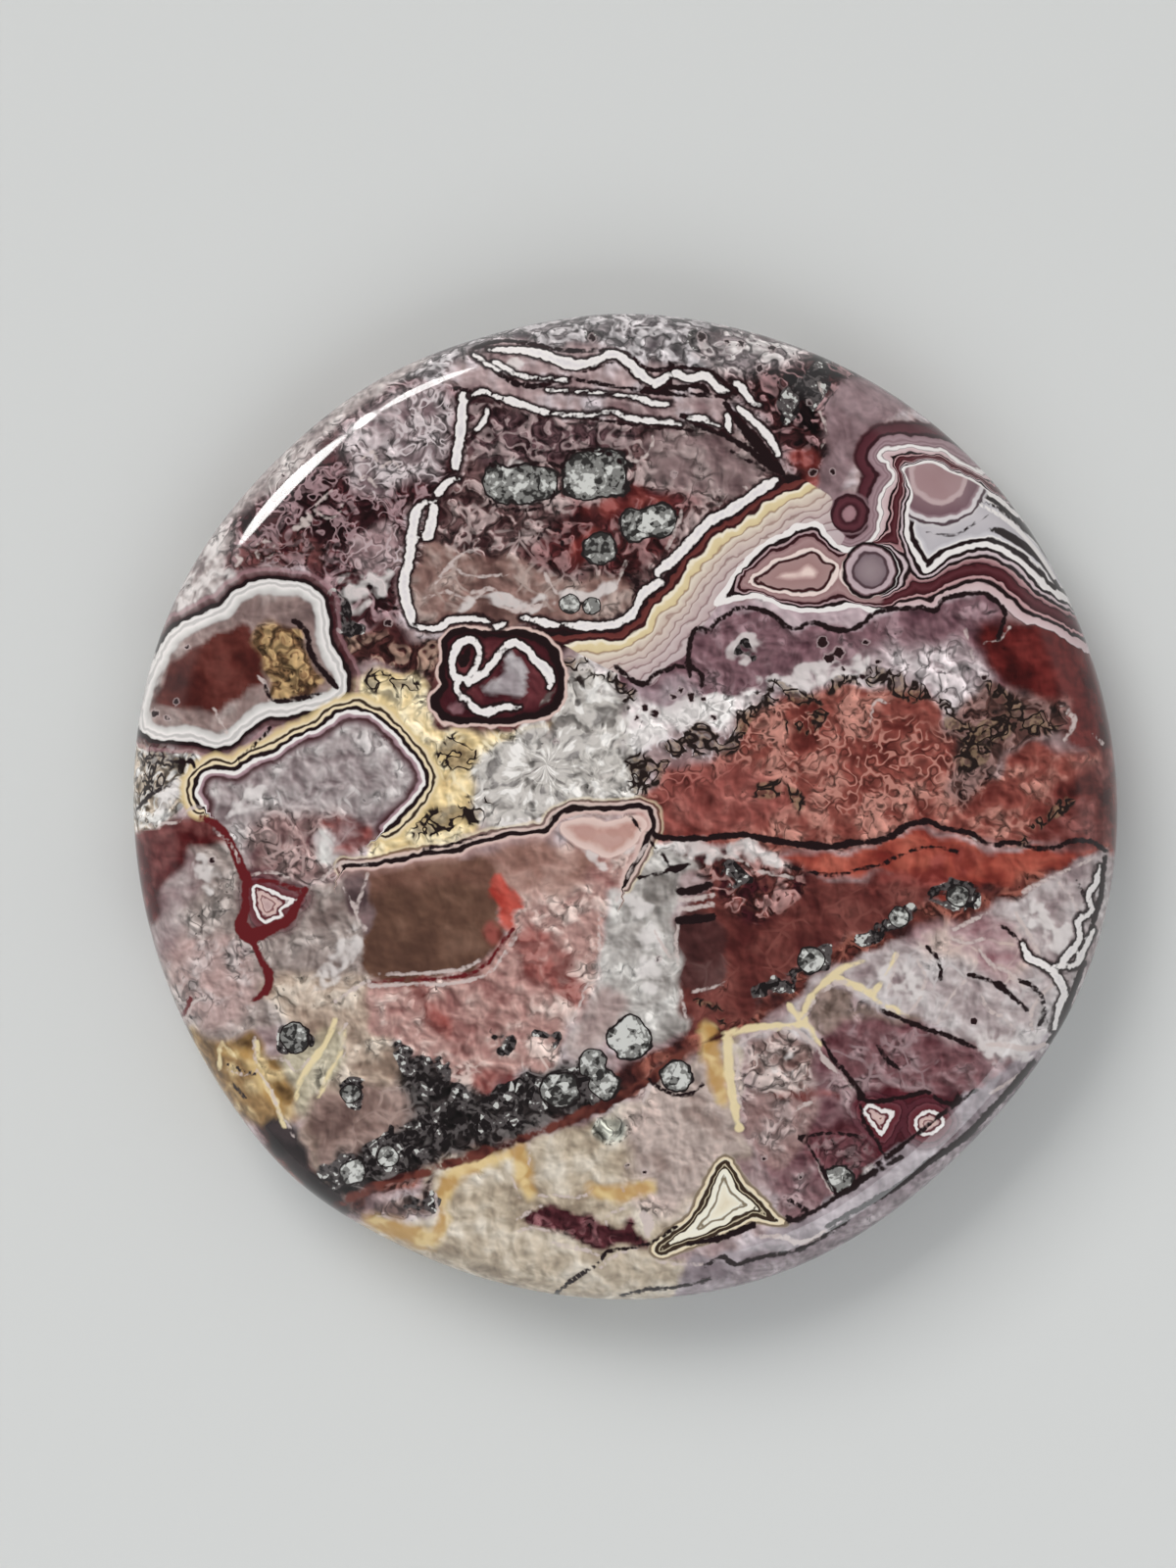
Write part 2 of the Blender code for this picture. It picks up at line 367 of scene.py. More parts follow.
      (504, 920)),
     2, (136, 42, 36), (170, 62, 52), (192, 92, 80), 0.0, 0.2),
    (((350, 894), (376, 886), (376, 950), (362, 936)),
     2, (80, 62, 64), (118, 98, 98), MAUVE, 0.0, 0.3),
    # The pale grey block.
    (((640, 902), (668, 866), (700, 874), (712, 886), (692, 896), (692, 1000), (700, 1048),
      (672, 1060), (610, 1066), (576, 1064), (612, 1000), (618, 926)),
     4, (120, 113, 109), (172, 166, 162), (216, 212, 208), 0.0, 0.4),
    (((576, 1064), (612, 1010), (640, 1030), (620, 1060), (600, 1086)),
     9, (146, 124, 122), (174, 154, 150), GREY_PINK, 0.0, 0.3),
    # The ochre and cream grounds along the bottom.
    (((190, 1050), (224, 1062), (262, 1056), (274, 1076), (290, 1084), (302, 1126),
      (288, 1150), (262, 1150), (230, 1130), (200, 1100)),
     5, (92, 68, 42), (146, 114, 72), (204, 180, 136), 0.0, 0.4),
    (((286, 1080), (340, 1050), (352, 1080), (326, 1118), (304, 1136), (296, 1110)),
     6, (142, 130, 110), (182, 172, 150), (214, 204, 182), 0.0, 0.4),
    (((276, 1146), (304, 1148), (322, 1194), (364, 1232), (340, 1242), (312, 1216), (274, 1172)),
     3, (20, 13, 15), (34, 24, 26), (54, 42, 44), 0.0, 0.1),
    (((436, 1196), (540, 1164), (640, 1128), (740, 1066), (760, 1062), (756, 1140),
      (764, 1180), (742, 1186), (700, 1240), (672, 1282), (704, 1294), (700, 1360),
      (560, 1360), (440, 1310), (360, 1250), (436, 1246)),
     5, (148, 132, 114), (190, 175, 155), (214, 204, 190), 0.0, 0.3),
    (((650, 1120), (740, 1072), (756, 1140), (764, 1180), (730, 1190), (690, 1240),
      (650, 1226), (640, 1170)),
     14, (148, 128, 121), (182, 165, 158), CREAM_PINK, 0.0, 0.4),
    (((346, 1216), (372, 1238), (440, 1204), (446, 1190), (432, 1240), (380, 1240)),
     5, BLACK, (106, 84, 80), (160, 140, 134), 0.0, 0.7),
    # The pale cells and the lilac maroon cells of the lower right.
    (((756, 1062), (800, 1042), (830, 1000), (860, 982), (900, 966), (960, 950), (1010, 930),
      (1060, 900), (1126, 872), (1170, 950), (1130, 1010), (1080, 1090), (1000, 1066),
      (950, 1046), (900, 1030), (850, 1012), (820, 1040), (836, 1074), (790, 1080)),
     4, (138, 120, 122), (176, 162, 162), (200, 192, 192), 0.02, 0.35),
    (((940, 950), (1010, 936), (1050, 960), (1040, 1000), (980, 980), (940, 970)),
     9, (140, 96, 102), (176, 148, 150), CREAM_PINK, 0.0, 0.3),
    (((820, 1030), (848, 1006), (890, 1030), (940, 1040), (900, 1060), (842, 1060)),
     4, (100, 82, 74), (142, 122, 114), MAUVE_LIGHT, 0.0, 0.5),
    (((762, 1078), (836, 1074), (842, 1056), (900, 1040), (950, 1052), (1000, 1074),
      (1046, 1090), (1004, 1124), (970, 1130), (900, 1204), (850, 1236), (800, 1244),
      (782, 1200), (758, 1140)),
     5, (92, 56, 63), (132, 100, 104), (170, 146, 148), 0.0, 0.5),
    (((836, 1064), (900, 1040), (990, 1074), (990, 1110), (930, 1112), (870, 1106)),
     10, (84, 42, 48), (118, 80, 84), (156, 130, 133), 0.0, 0.5),
    (((816, 1150), (880, 1150), (904, 1180), (890, 1200), (850, 1206), (826, 1180)),
     6, DEEP_MAROON, (112, 68, 74), MAUVE, 0.0, 0.6),
    (((880, 1116), (940, 1112), (980, 1118), (990, 1130), (930, 1176), (898, 1196),
      (894, 1160), (876, 1136)),
     3, (50, 14, 22), (74, 24, 32), (92, 38, 46), 0.0, 0.25),
    (((762, 1070), (800, 1064), (830, 1096), (826, 1150), (800, 1190), (774, 1180), (760, 1130)),
     5, (116, 84, 82), (152, 124, 121), (188, 168, 165), 0.0, 0.5),
    (((1070, 1050), (1030, 1086), (996, 1111), (966, 1132), (935, 1157), (894, 1188),
      (863, 1214), (832, 1234), (800, 1250), (740, 1275), (700, 1290), (690, 1350),
      (840, 1330), (980, 1250), (1120, 1100)),
     2, (120, 106, 112), (160, 148, 153), (190, 178, 184), 0.0, 0.2),
    (((1060, 1076), (1048, 1091), (1007, 1137), (945, 1188), (884, 1229), (843, 1252),
      (760, 1284), (760, 1340), (840, 1330), (980, 1250), (1120, 1100)),
     3, (104, 90, 95), (140, 126, 131), (176, 164, 168), 0.0, 0.4),
    (((770, 1072), (784, 1058), (804, 1054), (822, 1062), (832, 1080), (830, 1102), (814, 1118),
      (792, 1118), (774, 1106), (766, 1088)),
     3, (112, 82, 78), (150, 124, 119), (196, 178, 173), 0.0, 0.7),
    (((612, 1142), (626, 1138), (638, 1146), (640, 1160), (630, 1170), (616, 1168), (608, 1156)),
     3, (128, 124, 112), (160, 158, 146), (206, 206, 194), 0.0, 0.9),
    # The shield-shaped and the ringed fragment.
    (SHIELD, 4, (122, 106, 108), (168, 157, 157), (202, 195, 194), 0.0, 0.5),
    (((250, 866), (262, 838), (300, 826), (350, 836), (376, 846), (356, 878), (316, 905),
      (268, 896)),
     12, (98, 66, 68), (144, 114, 112), (182, 156, 153), 0.0, 0.6),
    (((340, 850), (356, 836), (376, 838), (372, 858), (352, 872)),
     5, (92, 60, 62), (130, 98, 98), MAUVE_LIGHT, 0.0, 0.4),
    (((324, 856), (336, 850), (352, 862), (346, 876), (328, 876)),
     3, LILAC_DARK, (190, 176, 176), PALE_GREY, 0.0, 0.3),
    (RING, 3, (58, 18, 26), (76, 30, 36), (104, 52, 56), 0.0, 0.2),
    (RING_CORE, 2, (140, 128, 132), (176, 168, 170), (206, 200, 202), 0.0, 0.2),
    (RING_KNOB, 2, (120, 84, 90), (160, 130, 134), LILAC, 0.0, 0.2),
    (((535, 1243), (555, 1232), (602, 1236), (614, 1246), (628, 1254), (646, 1246),
      (650, 1262), (668, 1273), (640, 1272), (616, 1276), (590, 1266), (560, 1256)),
     2, (52, 18, 24), (86, 42, 48), (132, 88, 92), 0.0, 0.6),
)

# Veins, each a line of (x, y, half its width). White ones have a dark outline.
WHITE_VEINS = (
    ((472, 403, 2.9), (471, 430, 4.3), (468, 456, 4.3), (465, 476, 3.6)),
    ((468, 488, 1.4), (458, 490, 2.9), (447, 504, 3.6)),
    ((434, 511, 1.4), (424, 524, 4.3), (421, 545, 4.3), (419, 560, 4.3), (416, 579, 3.6)),
    ((444, 512, 2.2), (441, 530, 4.3), (436, 547, 4.3)),
    ((413, 585, 4.3), (413, 606, 4.3), (418, 626, 4.3), (421, 638, 2.2)),
    ((428, 640, 1.4), (446, 641, 2.9), (462, 633, 2.9), (480, 631, 2.9), (497, 634, 2.2)),
    ((506, 640, 2.9), (514, 637, 2.2)),
    ((532, 631, 1.4), (548, 633, 2.9), (560, 637, 2.9), (570, 638, 1.4)),
    ((577, 637, 1.4), (600, 639, 3.6), (626, 637, 3.6), (646, 625, 3.6), (655, 607, 3.6),
     (673, 594, 4.3)),
    ((671, 583, 2.9), (688, 571, 4.3), (704, 553, 3.6), (722, 534, 4.3), (745, 521, 4.3),
     (765, 508, 4.3), (781, 496, 4.3), (793, 489, 2.2)),
    ((476, 410, 0.8), (490, 399, 1.4), (506, 404, 2.2), (530, 412, 2.9), (560, 421, 2.2),
     (600, 424, 1.4),
     (624, 420, 1.4), (646, 428, 2.2), (672, 430, 2.2), (696, 432, 1.4)),
    ((703, 426, 1.4), (718, 428, 2.2), (732, 435, 1.4)),
    ((500, 357, 1.4), (526, 357, 2.9), (550, 360, 3.6), (570, 368, 4.3), (590, 372, 4.3),
     (610, 367, 3.6),
     (624, 361, 2.9), (640, 368, 3.6), (654, 382, 4.3), (668, 391, 3.6), (680, 384, 2.9)),
    ((689, 381, 2.9), (705, 386, 3.6), (721, 382, 2.9), (731, 395, 3.6), (742, 400, 1.4)),
    ((746, 388, 1.4), (757, 396, 2.9), (765, 408, 2.2), (776, 414, 1.4)),
    ((503, 368, 1.4), (512, 373, 2.2), (530, 383, 1.4), (552, 386, 1.4), (578, 388, 1.4)),
    ((482, 361, 0.8), (494, 369, 1.4), (508, 378, 0.8)),
    ((558, 398, 0.8), (600, 400, 0.8), (640, 404, 0.8), (656, 408, 2.2), (672, 412, 2.2),
     (686, 412, 0.8)),
    ((750, 414, 1.4), (765, 426, 2.9), (780, 440, 2.9), (790, 454, 2.9), (794, 463, 2.2)),
    ((742, 424, 2.2), (745, 441, 1.4)),
    ((498, 416, 0.8), (494, 430, 2.2), (484, 440, 1.4)),
    ((474, 693, 2.2), (463, 689, 2.2), (461, 676, 2.9), (466, 661, 2.9), (477, 653, 2.9),
     (487, 657, 2.9),
     (489, 670, 2.9), (484, 684, 2.2), (476, 695, 2.2)),
    ((478, 698, 2.2), (492, 688, 2.9), (503, 676, 2.9), (515, 661, 2.9), (526, 656, 3.6),
     (539, 664, 2.9),
     (549, 676, 3.6), (559, 684, 4.3), (563, 694, 2.9), (560, 703, 1.4)),
    ((476, 713, 2.2), (484, 722, 2.9), (496, 727, 3.6), (510, 722, 2.9), (530, 722, 1.4)),
    ((470, 692, 2.2), (466, 703, 2.2), (473, 713, 2.2)),
    ((1122, 884, 1), (1119, 900, 2.2), (1110, 914, 2.6), (1114, 930, 2.2), (1100, 940, 2.6),
     (1102, 958, 2.2), (1092, 972, 3.4), (1082, 986, 3)),
    ((1044, 962, 1.4), (1050, 978, 3), (1064, 984, 3.4), (1078, 996, 3.4), (1086, 1014, 3),
     (1080, 1030, 3), (1076, 1050, 1.6)),
    ((1084, 986, 2.2), (1098, 984, 2.2), (1106, 968, 2.2), (1116, 950, 1.4)),
)

# Thin dark lines.
DARK_LINES = (
    ((484, 356, 0.8), (500, 350, 1.3), (520, 348, 1.3), (546, 352, 1.3), (570, 357, 1.3),
     (600, 358, 1.3),
     (625, 357, 1.3), (642, 362, 1.3), (656, 374, 1.3), (668, 378, 1.3), (690, 375, 1.3),
     (715, 377, 1.3),
     (731, 383, 1.3), (746, 397, 1.3), (756, 404, 0.8)),
    ((684, 370, 1.3), (683, 396, 1.3)),
    ((498, 372, 1.3), (520, 388, 1.9), (546, 394, 1.9), (580, 386, 0.8), (600, 390, 0.8),
     (640, 396, 1.3),
     (680, 402, 1.3), (730, 404, 1.3), (748, 406, 0.8)),
    ((580, 380, 0.8), (600, 378, 0.5), (622, 371, 0.5), (640, 376, 0.5), (660, 398, 0.5)),
    ((462, 396, 1.3), (500, 404, 0.8), (512, 414, 0.8)),
    ((660, 396, 1.9), (690, 396, 1.9), (716, 394, 1.9), (724, 404, 1.3)),
    ((696, 424, 1.9), (716, 434, 1.9), (736, 442, 1.9), (760, 456, 2.6), (784, 474, 3.3),
     (800, 484, 1.9)),
    ((740, 412, 1.9), (762, 440, 5), (784, 466, 5), (798, 480, 1.9)),
    ((704, 690, 1.5), (703, 660, 1.5), (708, 645, 1.5), (716, 640, 1.5), (722, 645, 1.5),
     (731, 634, 1.5), (741, 628, 1.5), (755, 620, 1.5), (776, 622, 1.5), (790, 628, 1.5),
     (800, 637, 1.5),
     (812, 642, 1.5), (830, 635, 1.5), (850, 642, 1.5), (868, 643, 1.5), (880, 636, 1.5),
     (896, 624, 1.5),
     (922, 621, 1.5), (940, 620, 1.5), (955, 623, 1.5), (962, 612, 1.5), (980, 607, 1.5),
     (1000, 605, 1.5),
     (1015, 612, 1.5), (1026, 626, 1.5), (1022, 640, 1.5), (1018, 652, 1.5)),
    ((628, 680, 1.5), (640, 690, 1.5), (650, 697, 1.5), (660, 697, 1.5), (668, 688, 1.5),
     (680, 684, 1.5), (690, 680, 1.5), (706, 682, 1.5), (716, 690, 1.5), (716, 700, 1.5)),
    ((412, 583, 0.8), (422, 583, 0.8)),
    ((560, 420, 0.5), (650, 434, 0.8), (700, 438, 0.8), (740, 440, 0.8)),
    ((500, 474, 0.5), (520, 476, 0.8), (556, 472, 0.8), (574, 476, 0.8), (582, 462, 0.5),
     (600, 458, 0.8),
     (626, 466, 0.5), (640, 480, 0.5)),
    ((492, 500, 0.5), (500, 512, 0.8), (524, 520, 0.8), (556, 518, 0.5), (566, 500, 0.8)),
    ((526, 458, 0.8), (540, 464, 0.5), (556, 460, 0.8)),
    ((550, 550, 0.8), (556, 540, 0.8), (570, 542, 0.8), (574, 556, 0.5)),
    ((640, 586, 0.8), (650, 596, 0.8), (644, 612, 0.8)),
    ((665, 848, 1.5), (672, 854, 2), (700, 856, 2.2), (730, 854, 2.2), (760, 852, 2.2),
     (786, 857, 2.4), (820, 862, 2.6), (850, 864, 2.6), (870, 860, 2.4), (900, 857, 2.4),
     (915, 850, 2.4), (926, 842, 2.2), (948, 838, 2.2), (962, 845, 2), (990, 850, 1.6),
     (1010, 862, 1.6), (1034, 860, 1.6), (1060, 866, 1.6), (1080, 864, 1.6), (1096, 857, 1.6),
     (1116, 860, 1.6), (1128, 868, 1.6)),
    ((800, 884, 0.5), (820, 888, 0.8), (850, 893, 0.8), (880, 886, 0.8), (900, 882, 0.5),
     (920, 872, 0.5),
     (950, 864, 0.5), (980, 870, 0.5)),
    ((1128, 874, 1.3), (1125, 892, 1.9), (1123, 914, 1.9), (1116, 940, 1.9), (1110, 962, 1.3)),
    ((1106, 982, 1.9), (1098, 1004, 1.9), (1090, 1026, 1.9), (1082, 1046, 1.9),
     (1070, 1064, 1.3)),
    ((1100, 900, 0.8), (1106, 912, 1.3), (1112, 916, 0.8)),
    ((1040, 1000, 0.8), (1058, 1010, 1.3), (1066, 1030, 1.3), (1060, 1046, 0.8)),
    ((1020, 1002, 0.8), (1034, 1018, 1.3), (1048, 1030, 0.8)),
    ((1020, 944, 0.5), (1030, 950, 0.8), (1042, 962, 0.5)),
    ((900, 1030, 0.8), (920, 1040, 1.3), (945, 1050, 1.5), (970, 1058, 1.5), (996, 1070, 1)),
    ((896, 1068, 0.8), (906, 1082, 1.3), (920, 1092, 0.8)),
    ((838, 1060, 1), (850, 1080, 1.5), (862, 1094, 1.5), (874, 1110, 1.5), (882, 1120, 1)),
    ((988, 994, 0.8), (1010, 1001, 1.3), (1030, 1014, 1.3), (1048, 1030, 0.8)),
    ((946, 966, 0.8), (958, 980, 1), (960, 998, 0.8)),
    ((876, 1120, 0.8), (894, 1124, 1.3), (930, 1118, 1.3), (946, 1114, 1.3), (960, 1124, 1.3),
     (974, 1126, 1.9), (978, 1116, 0.8)),
    ((878, 1128, 0.8), (882, 1146, 1.3), (894, 1162, 1.3), (900, 1176, 0.8)),
    ((816, 1160, 1), (836, 1186, 1.3), (846, 1208, 1.3), (858, 1218, 1.3), (880, 1206, 1.3),
     (904, 1190, 1.3), (920, 1180, 1.3)),
    ((820, 1160, 0.8), (846, 1156, 0.5), (880, 1160, 0.5)),
    ((1056, 1082, 1.3), (1048, 1091, 1.9), (1027, 1116, 2.2), (1007, 1137, 2.2), (981, 1163, 2.2),
     (945, 1188, 2.2), (914, 1212, 1.9), (884, 1229, 1.9), (843, 1252, 1.5)),
    ((996, 1112, 1.3), (966, 1133, 1.3), (935, 1158, 1.3), (894, 1189, 1.3), (863, 1215, 1.3),
     (832, 1235, 1.3), (804, 1246, 1.3)),
    ((866, 1244, 1.3), (840, 1262, 0.8), (812, 1276, 1.3), (780, 1282, 0.8), (750, 1290, 1.9),
     (738, 1282, 1.3), (720, 1292, 0.8)),
    ((690, 1252, 0.8), (660, 1270, 0.5), (620, 1277, 0.8), (612, 1288, 0.8), (590, 1302, 1.3),
     (572, 1316, 1.3), (562, 1326, 1.3)),
    ((634, 1322, 0.8), (660, 1316, 0.8), (700, 1312, 0.5), (726, 1304, 0.5), (716, 1308, 0.8)),
    ((700, 1270, 0.8), (724, 1266, 1.9), (750, 1258, 2.6), (768, 1250, 2.6)),
    ((804, 1224, 1.3), (824, 1236, 1.3), (812, 1246, 1.9), (800, 1240, 0.8)),
    ((300, 634, 1.3), (312, 644, 1.9), (318, 668, 1.9), (332, 688, 1.9), (344, 702, 1.3)),
    ((270, 700, 0.8), (278, 714, 1.3), (300, 714, 1.3), (326, 708, 1.3)),
    ((242, 776, 0.5), (264, 756, 0.8), (276, 742, 0.5)),
    ((232, 1086, 0.5), (252, 1094, 0.5), (262, 1096, 0.5)),
    ((236, 1104, 0.5), (250, 1120, 0.5)),
    ((432, 866, 0.5), (460, 862, 0.5), (500, 850, 0.5)),
    ((660, 1100, 0.5), (676, 1112, 0.8), (700, 1118, 0.8), (718, 1106, 0.5)),
    ((640, 830, 0.5), (690, 890, 0.5)),
    ((693, 939, 3), (710, 938, 3.6), (727, 936, 2.6)),
    ((693, 910, 3), (710, 908, 3.6), (725, 903, 2)),
    ((652, 896, 1.3), (668, 892, 0.8), (690, 886, 2.6), (704, 882, 0.8)),
    ((466, 664, 0.5), (472, 678, 2.6), (478, 664, 1.9), (482, 660, 0.5)),
    ((746, 460, 0.5), (780, 480, 0.5)),
    ((150, 775, 1.3), (162, 770, 0.8), (178, 778, 0.8), (194, 776, 1.9), (200, 784, 0.8)),
    ((140, 826, 0.8), (152, 812, 0.8), (176, 800, 0.5)),
)

# Thin pale lines.
PALE_LINES = (
    ((612, 924, 0.5), (611, 950, 0.8), (612, 980, 0.8), (610, 996, 0.8), (598, 1008, 0.8),
     (590, 1030, 0.8), (576, 1050, 0.5)),
    ((634, 906, 0.8), (628, 920, 0.8)),
    ((612, 940, 0.5), (618, 930, 0.5)),
    ((378, 1006, 1), (420, 1004, 1), (456, 1004, 1), (484, 999, 1), (502, 990, 1), (517, 970, 1),
     (530, 950, 0.8)),
    ((386, 994, 0.8), (440, 993, 1), (474, 988, 1), (490, 979, 0.8)),
    ((376, 1000, 0.8), (360, 1010, 1.5), (342, 1022, 0.8)),
    ((372, 902, 0.5), (366, 920, 0.8), (364, 936, 0.8), (374, 948, 0.5)),
    ((376, 890, 0.8), (370, 912, 0.5)),
    ((350, 905, 0.5), (362, 928, 0.5), (372, 950, 0.5)),
    ((322, 904, 0.5), (336, 890, 0.8), (350, 880, 0.8), (374, 882, 0.5)),
    ((692, 900, 0.5), (692, 940, 0.5), (690, 960, 0.8), (692, 984, 0.5)),
    ((668, 950, 0.5), (678, 968, 0.8), (686, 978, 0.5)),
    ((694, 1008, 0.8), (700, 1040, 0.5)),
    ((706, 1012, 0.5), (726, 1008, 0.5), (742, 1002, 0.5)),
    ((693, 919, 1.6), (710, 917, 2), (728, 913, 1.4)),
    ((693, 928, 1.4), (710, 926, 1.8), (728, 923, 1.4)),
    ((766, 888, 0.8), (800, 894, 0.8), (810, 896, 0.5)),
    ((780, 880, 0.8), (796, 886, 0.8)),
    ((720, 870, 0.5), (756, 878, 0.8), (764, 884, 0.5)),
    ((660, 862, 0.8), (648, 880, 0.8), (640, 896, 0.5)),
    ((866, 1000, 0.5), (852, 1004, 1.5), (836, 1014, 0.8), (826, 1030, 0.8), (818, 1040, 0.5)),
    ((852, 1000, 0.8), (870, 1010, 0.8), (892, 1022, 0.8), (916, 1034, 0.5)),
    ((806, 1046, 0.8), (824, 1060, 1.5), (836, 1070, 0.8)),
    ((756, 1064, 0.8), (770, 1056, 0.8), (792, 1050, 0.8), (812, 1050, 0.5)),
    ((836, 1072, 0.8), (842, 1082, 2.2), (856, 1096, 0.8), (870, 1110, 0.5)),
    ((834, 1182, 1.5), (838, 1196, 0.8), (850, 1222, 0.5)),
    ((806, 1136, 0.8), (820, 1128, 0.8), (836, 1122, 0.5)),
    ((1000, 1010, 0.5), (1008, 1030, 0.8), (1024, 1038, 0.8), (1036, 1052, 0.5)),
    ((986, 1000, 0.5), (970, 1018, 0.8), (956, 1044, 0.5)),
    ((1044, 910, 0.8), (1060, 902, 1.5), (1080, 892, 0.8), (1116, 876, 0.8)),
    ((1080, 900, 0.5), (1092, 914, 0.8), (1100, 930, 0.5)),
    ((1010, 930, 0.5), (990, 940, 1.5), (970, 950, 0.5)),
    ((916, 970, 0.5), (912, 990, 0.5), (906, 1010, 0.5)),
    ((1070, 1064, 0.8), (1050, 1070, 2.2), (1020, 1066, 2.2), (1000, 1068, 0.5)),
    ((1048, 1092, 0.8), (1030, 1104, 0.8), (1010, 1116, 0.5)),
    ((832, 1262, 0.5), (840, 1258, 1.5), (850, 1254, 0.5)),
    ((800, 1264, 0.8), (820, 1268, 2.2), (836, 1262, 0.5)),
    ((260, 1056, 0.5), (260, 1080, 0.8), (266, 1096, 0.8), (276, 1110, 0.5), (282, 1128, 0.8),
     (292, 1144, 0.8), (300, 1160, 0.5)),
    ((232, 1092, 0.5), (246, 1096, 0.5), (262, 1094, 0.5)),
    ((354, 1044, 0.5), (346, 1056, 0.5), (352, 1070, 0.5), (350, 1080, 0.5)),
    ((276, 1080, 0.5), (292, 1082, 0.5), (302, 1094, 0.5), (316, 1080, 0.5)),
    ((548, 1221, 0.5), (570, 1220, 0.8), (596, 1221, 0.8), (604, 1212, 0.5)),
    ((528, 1245, 0.5), (540, 1236, 0.8), (556, 1230, 0.5)),
    ((524, 1258, 0.5), (540, 1253, 0.8), (560, 1256, 0.5)),
    ((562, 1268, 0.5), (580, 1272, 1.5), (600, 1276, 0.8), (614, 1284, 0.5)),
    ((640, 1232, 0.5), (620, 1240, 0.5), (618, 1250, 0.5)),
    ((660, 1262, 2.2), (662, 1248, 5), (656, 1240, 3.6)),
    ((650, 1274, 0.8), (630, 1280, 0.8), (612, 1294, 0.5)),
    ((668, 1286, 0.8), (690, 1290, 0.8), (716, 1290, 0.5)),
    ((776, 1262, 0.8), (800, 1262, 2.2), (812, 1270, 1.5)),
    ((648, 1120, 0.5), (656, 1112, 0.8), (664, 1106, 0.8)),
    ((656, 1130, 0.5), (660, 1118, 0.8), (664, 1108, 0.5)),
    ((750, 1066, 0.5), (753, 1090, 0.8), (752, 1112, 0.8), (757, 1132, 0.5)),
    ((540, 1166, 0.5), (540, 1190, 0.5)),
    ((522, 1200, 0.5), (530, 1222, 0.5)),
    ((444, 1218, 0.5), (446, 1236, 0.8), (440, 1244, 0.5)),
    ((262, 690, 0.5), (272, 700, 0.5), (274, 716, 0.8)),
    ((218, 722, 0.5), (228, 742, 0.8), (232, 748, 0.5)),
    ((666, 446, 0.5), (664, 460, 0.5), (650, 470, 0.5), (640, 466, 0.5)),
    ((630, 596, 0.5), (634, 584, 0.8), (640, 572, 0.8)),
    ((696, 520, 0.8), (690, 540, 0.8), (680, 560, 0.8)),
    ((760, 496, 0.8), (766, 502, 1.5), (776, 500, 0.5)),
    ((444, 596, 0.5), (456, 580, 0.8), (470, 566, 0.8), (490, 560, 0.5)),
    ((460, 576, 0.5), (480, 588, 0.5), (520, 586, 0.5)),
    ((556, 586, 0.5), (564, 600, 0.8), (570, 606, 0.5)),
    ((430, 612, 0.5), (456, 604, 0.5), (480, 612, 0.5), (500, 600, 0.8), (520, 616, 0.8),
     (556, 618, 0.5)),
    ((480, 606, 0.5), (500, 600, 0.5)),
    ((504, 616, 0.8), (530, 624, 1.5), (550, 620, 0.8)),
    ((340, 500, 0.5), (326, 512, 0.5), (322, 520, 0.5), (332, 528, 0.5), (344, 526, 0.5),
     (350, 512, 0.5)),
    ((300, 540, 1.5), (310, 536, 0.8), (316, 524, 0.5)),
    ((312, 522, 0.8), (318, 530, 0.8), (314, 536, 0.8), (308, 530, 0.8)),
    ((264, 570, 0.5), (262, 556, 0.5), (276, 552, 0.5), (280, 562, 0.5), (270, 572, 0.5)),
    ((240, 566, 0.8), (246, 572, 1.5), (240, 578, 0.8)),
    ((368, 470, 0.5), (380, 460, 0.8), (388, 478, 0.8), (400, 470, 0.5), (410, 484, 0.5)),
    ((360, 500, 0.5), (372, 486, 0.8), (384, 496, 0.5)),
    ((836, 420, 0.8), (844, 440, 0.5), (838, 456, 0.5)),
    ((836, 390, 0.8), (840, 404, 0.5)),
    ((1004, 656, 0.5), (1020, 652, 0.5), (1030, 640, 0.5)),
    ((984, 640, 0.8), (990, 660, 0.8), (996, 676, 0.5)),
    ((888, 738, 0.5), (890, 722, 0.8), (896, 714, 0.8), (906, 718, 0.5)),
    ((1086, 756, 0.8), (1094, 744, 2.2), (1096, 732, 2.2), (1088, 728, 1.5)),
    ((1092, 722, 0.5), (1080, 722, 0.5)),
    ((990, 852, 0.8), (1000, 860, 0.5)),
    ((1116, 750, 0.5), (1126, 760, 0.5)),
    ((1062, 982, 1), (1056, 964, 1.4), (1044, 944, 1), (1036, 930, 0.8)),
    ((1078, 1002, 1), (1064, 1014, 1.2), (1052, 1034, 1), (1054, 1052, 0.8)),
    ((1000, 968, 0.8), (1012, 984, 1.2), (1030, 992, 1), (1046, 1008, 0.8)),
    ((934, 976, 0.8), (944, 996, 1), (938, 1020, 1), (926, 1034, 0.8)),
    ((970, 956, 0.8), (984, 962, 1.2), (1004, 958, 0.8)),
    ((148, 842, 0.5), (170, 840, 0.5), (184, 838, 0.5), (192, 826, 0.5), (206, 822, 0.5)),
    ((222, 850, 0.8), (236, 862, 0.8), (244, 880, 0.5)),
    ((258, 893, 0.5), (276, 890, 0.8), (300, 898, 0.5)),
    ((190, 1040, 0.5), (198, 1022, 0.8), (214, 1018, 0.5)),
)

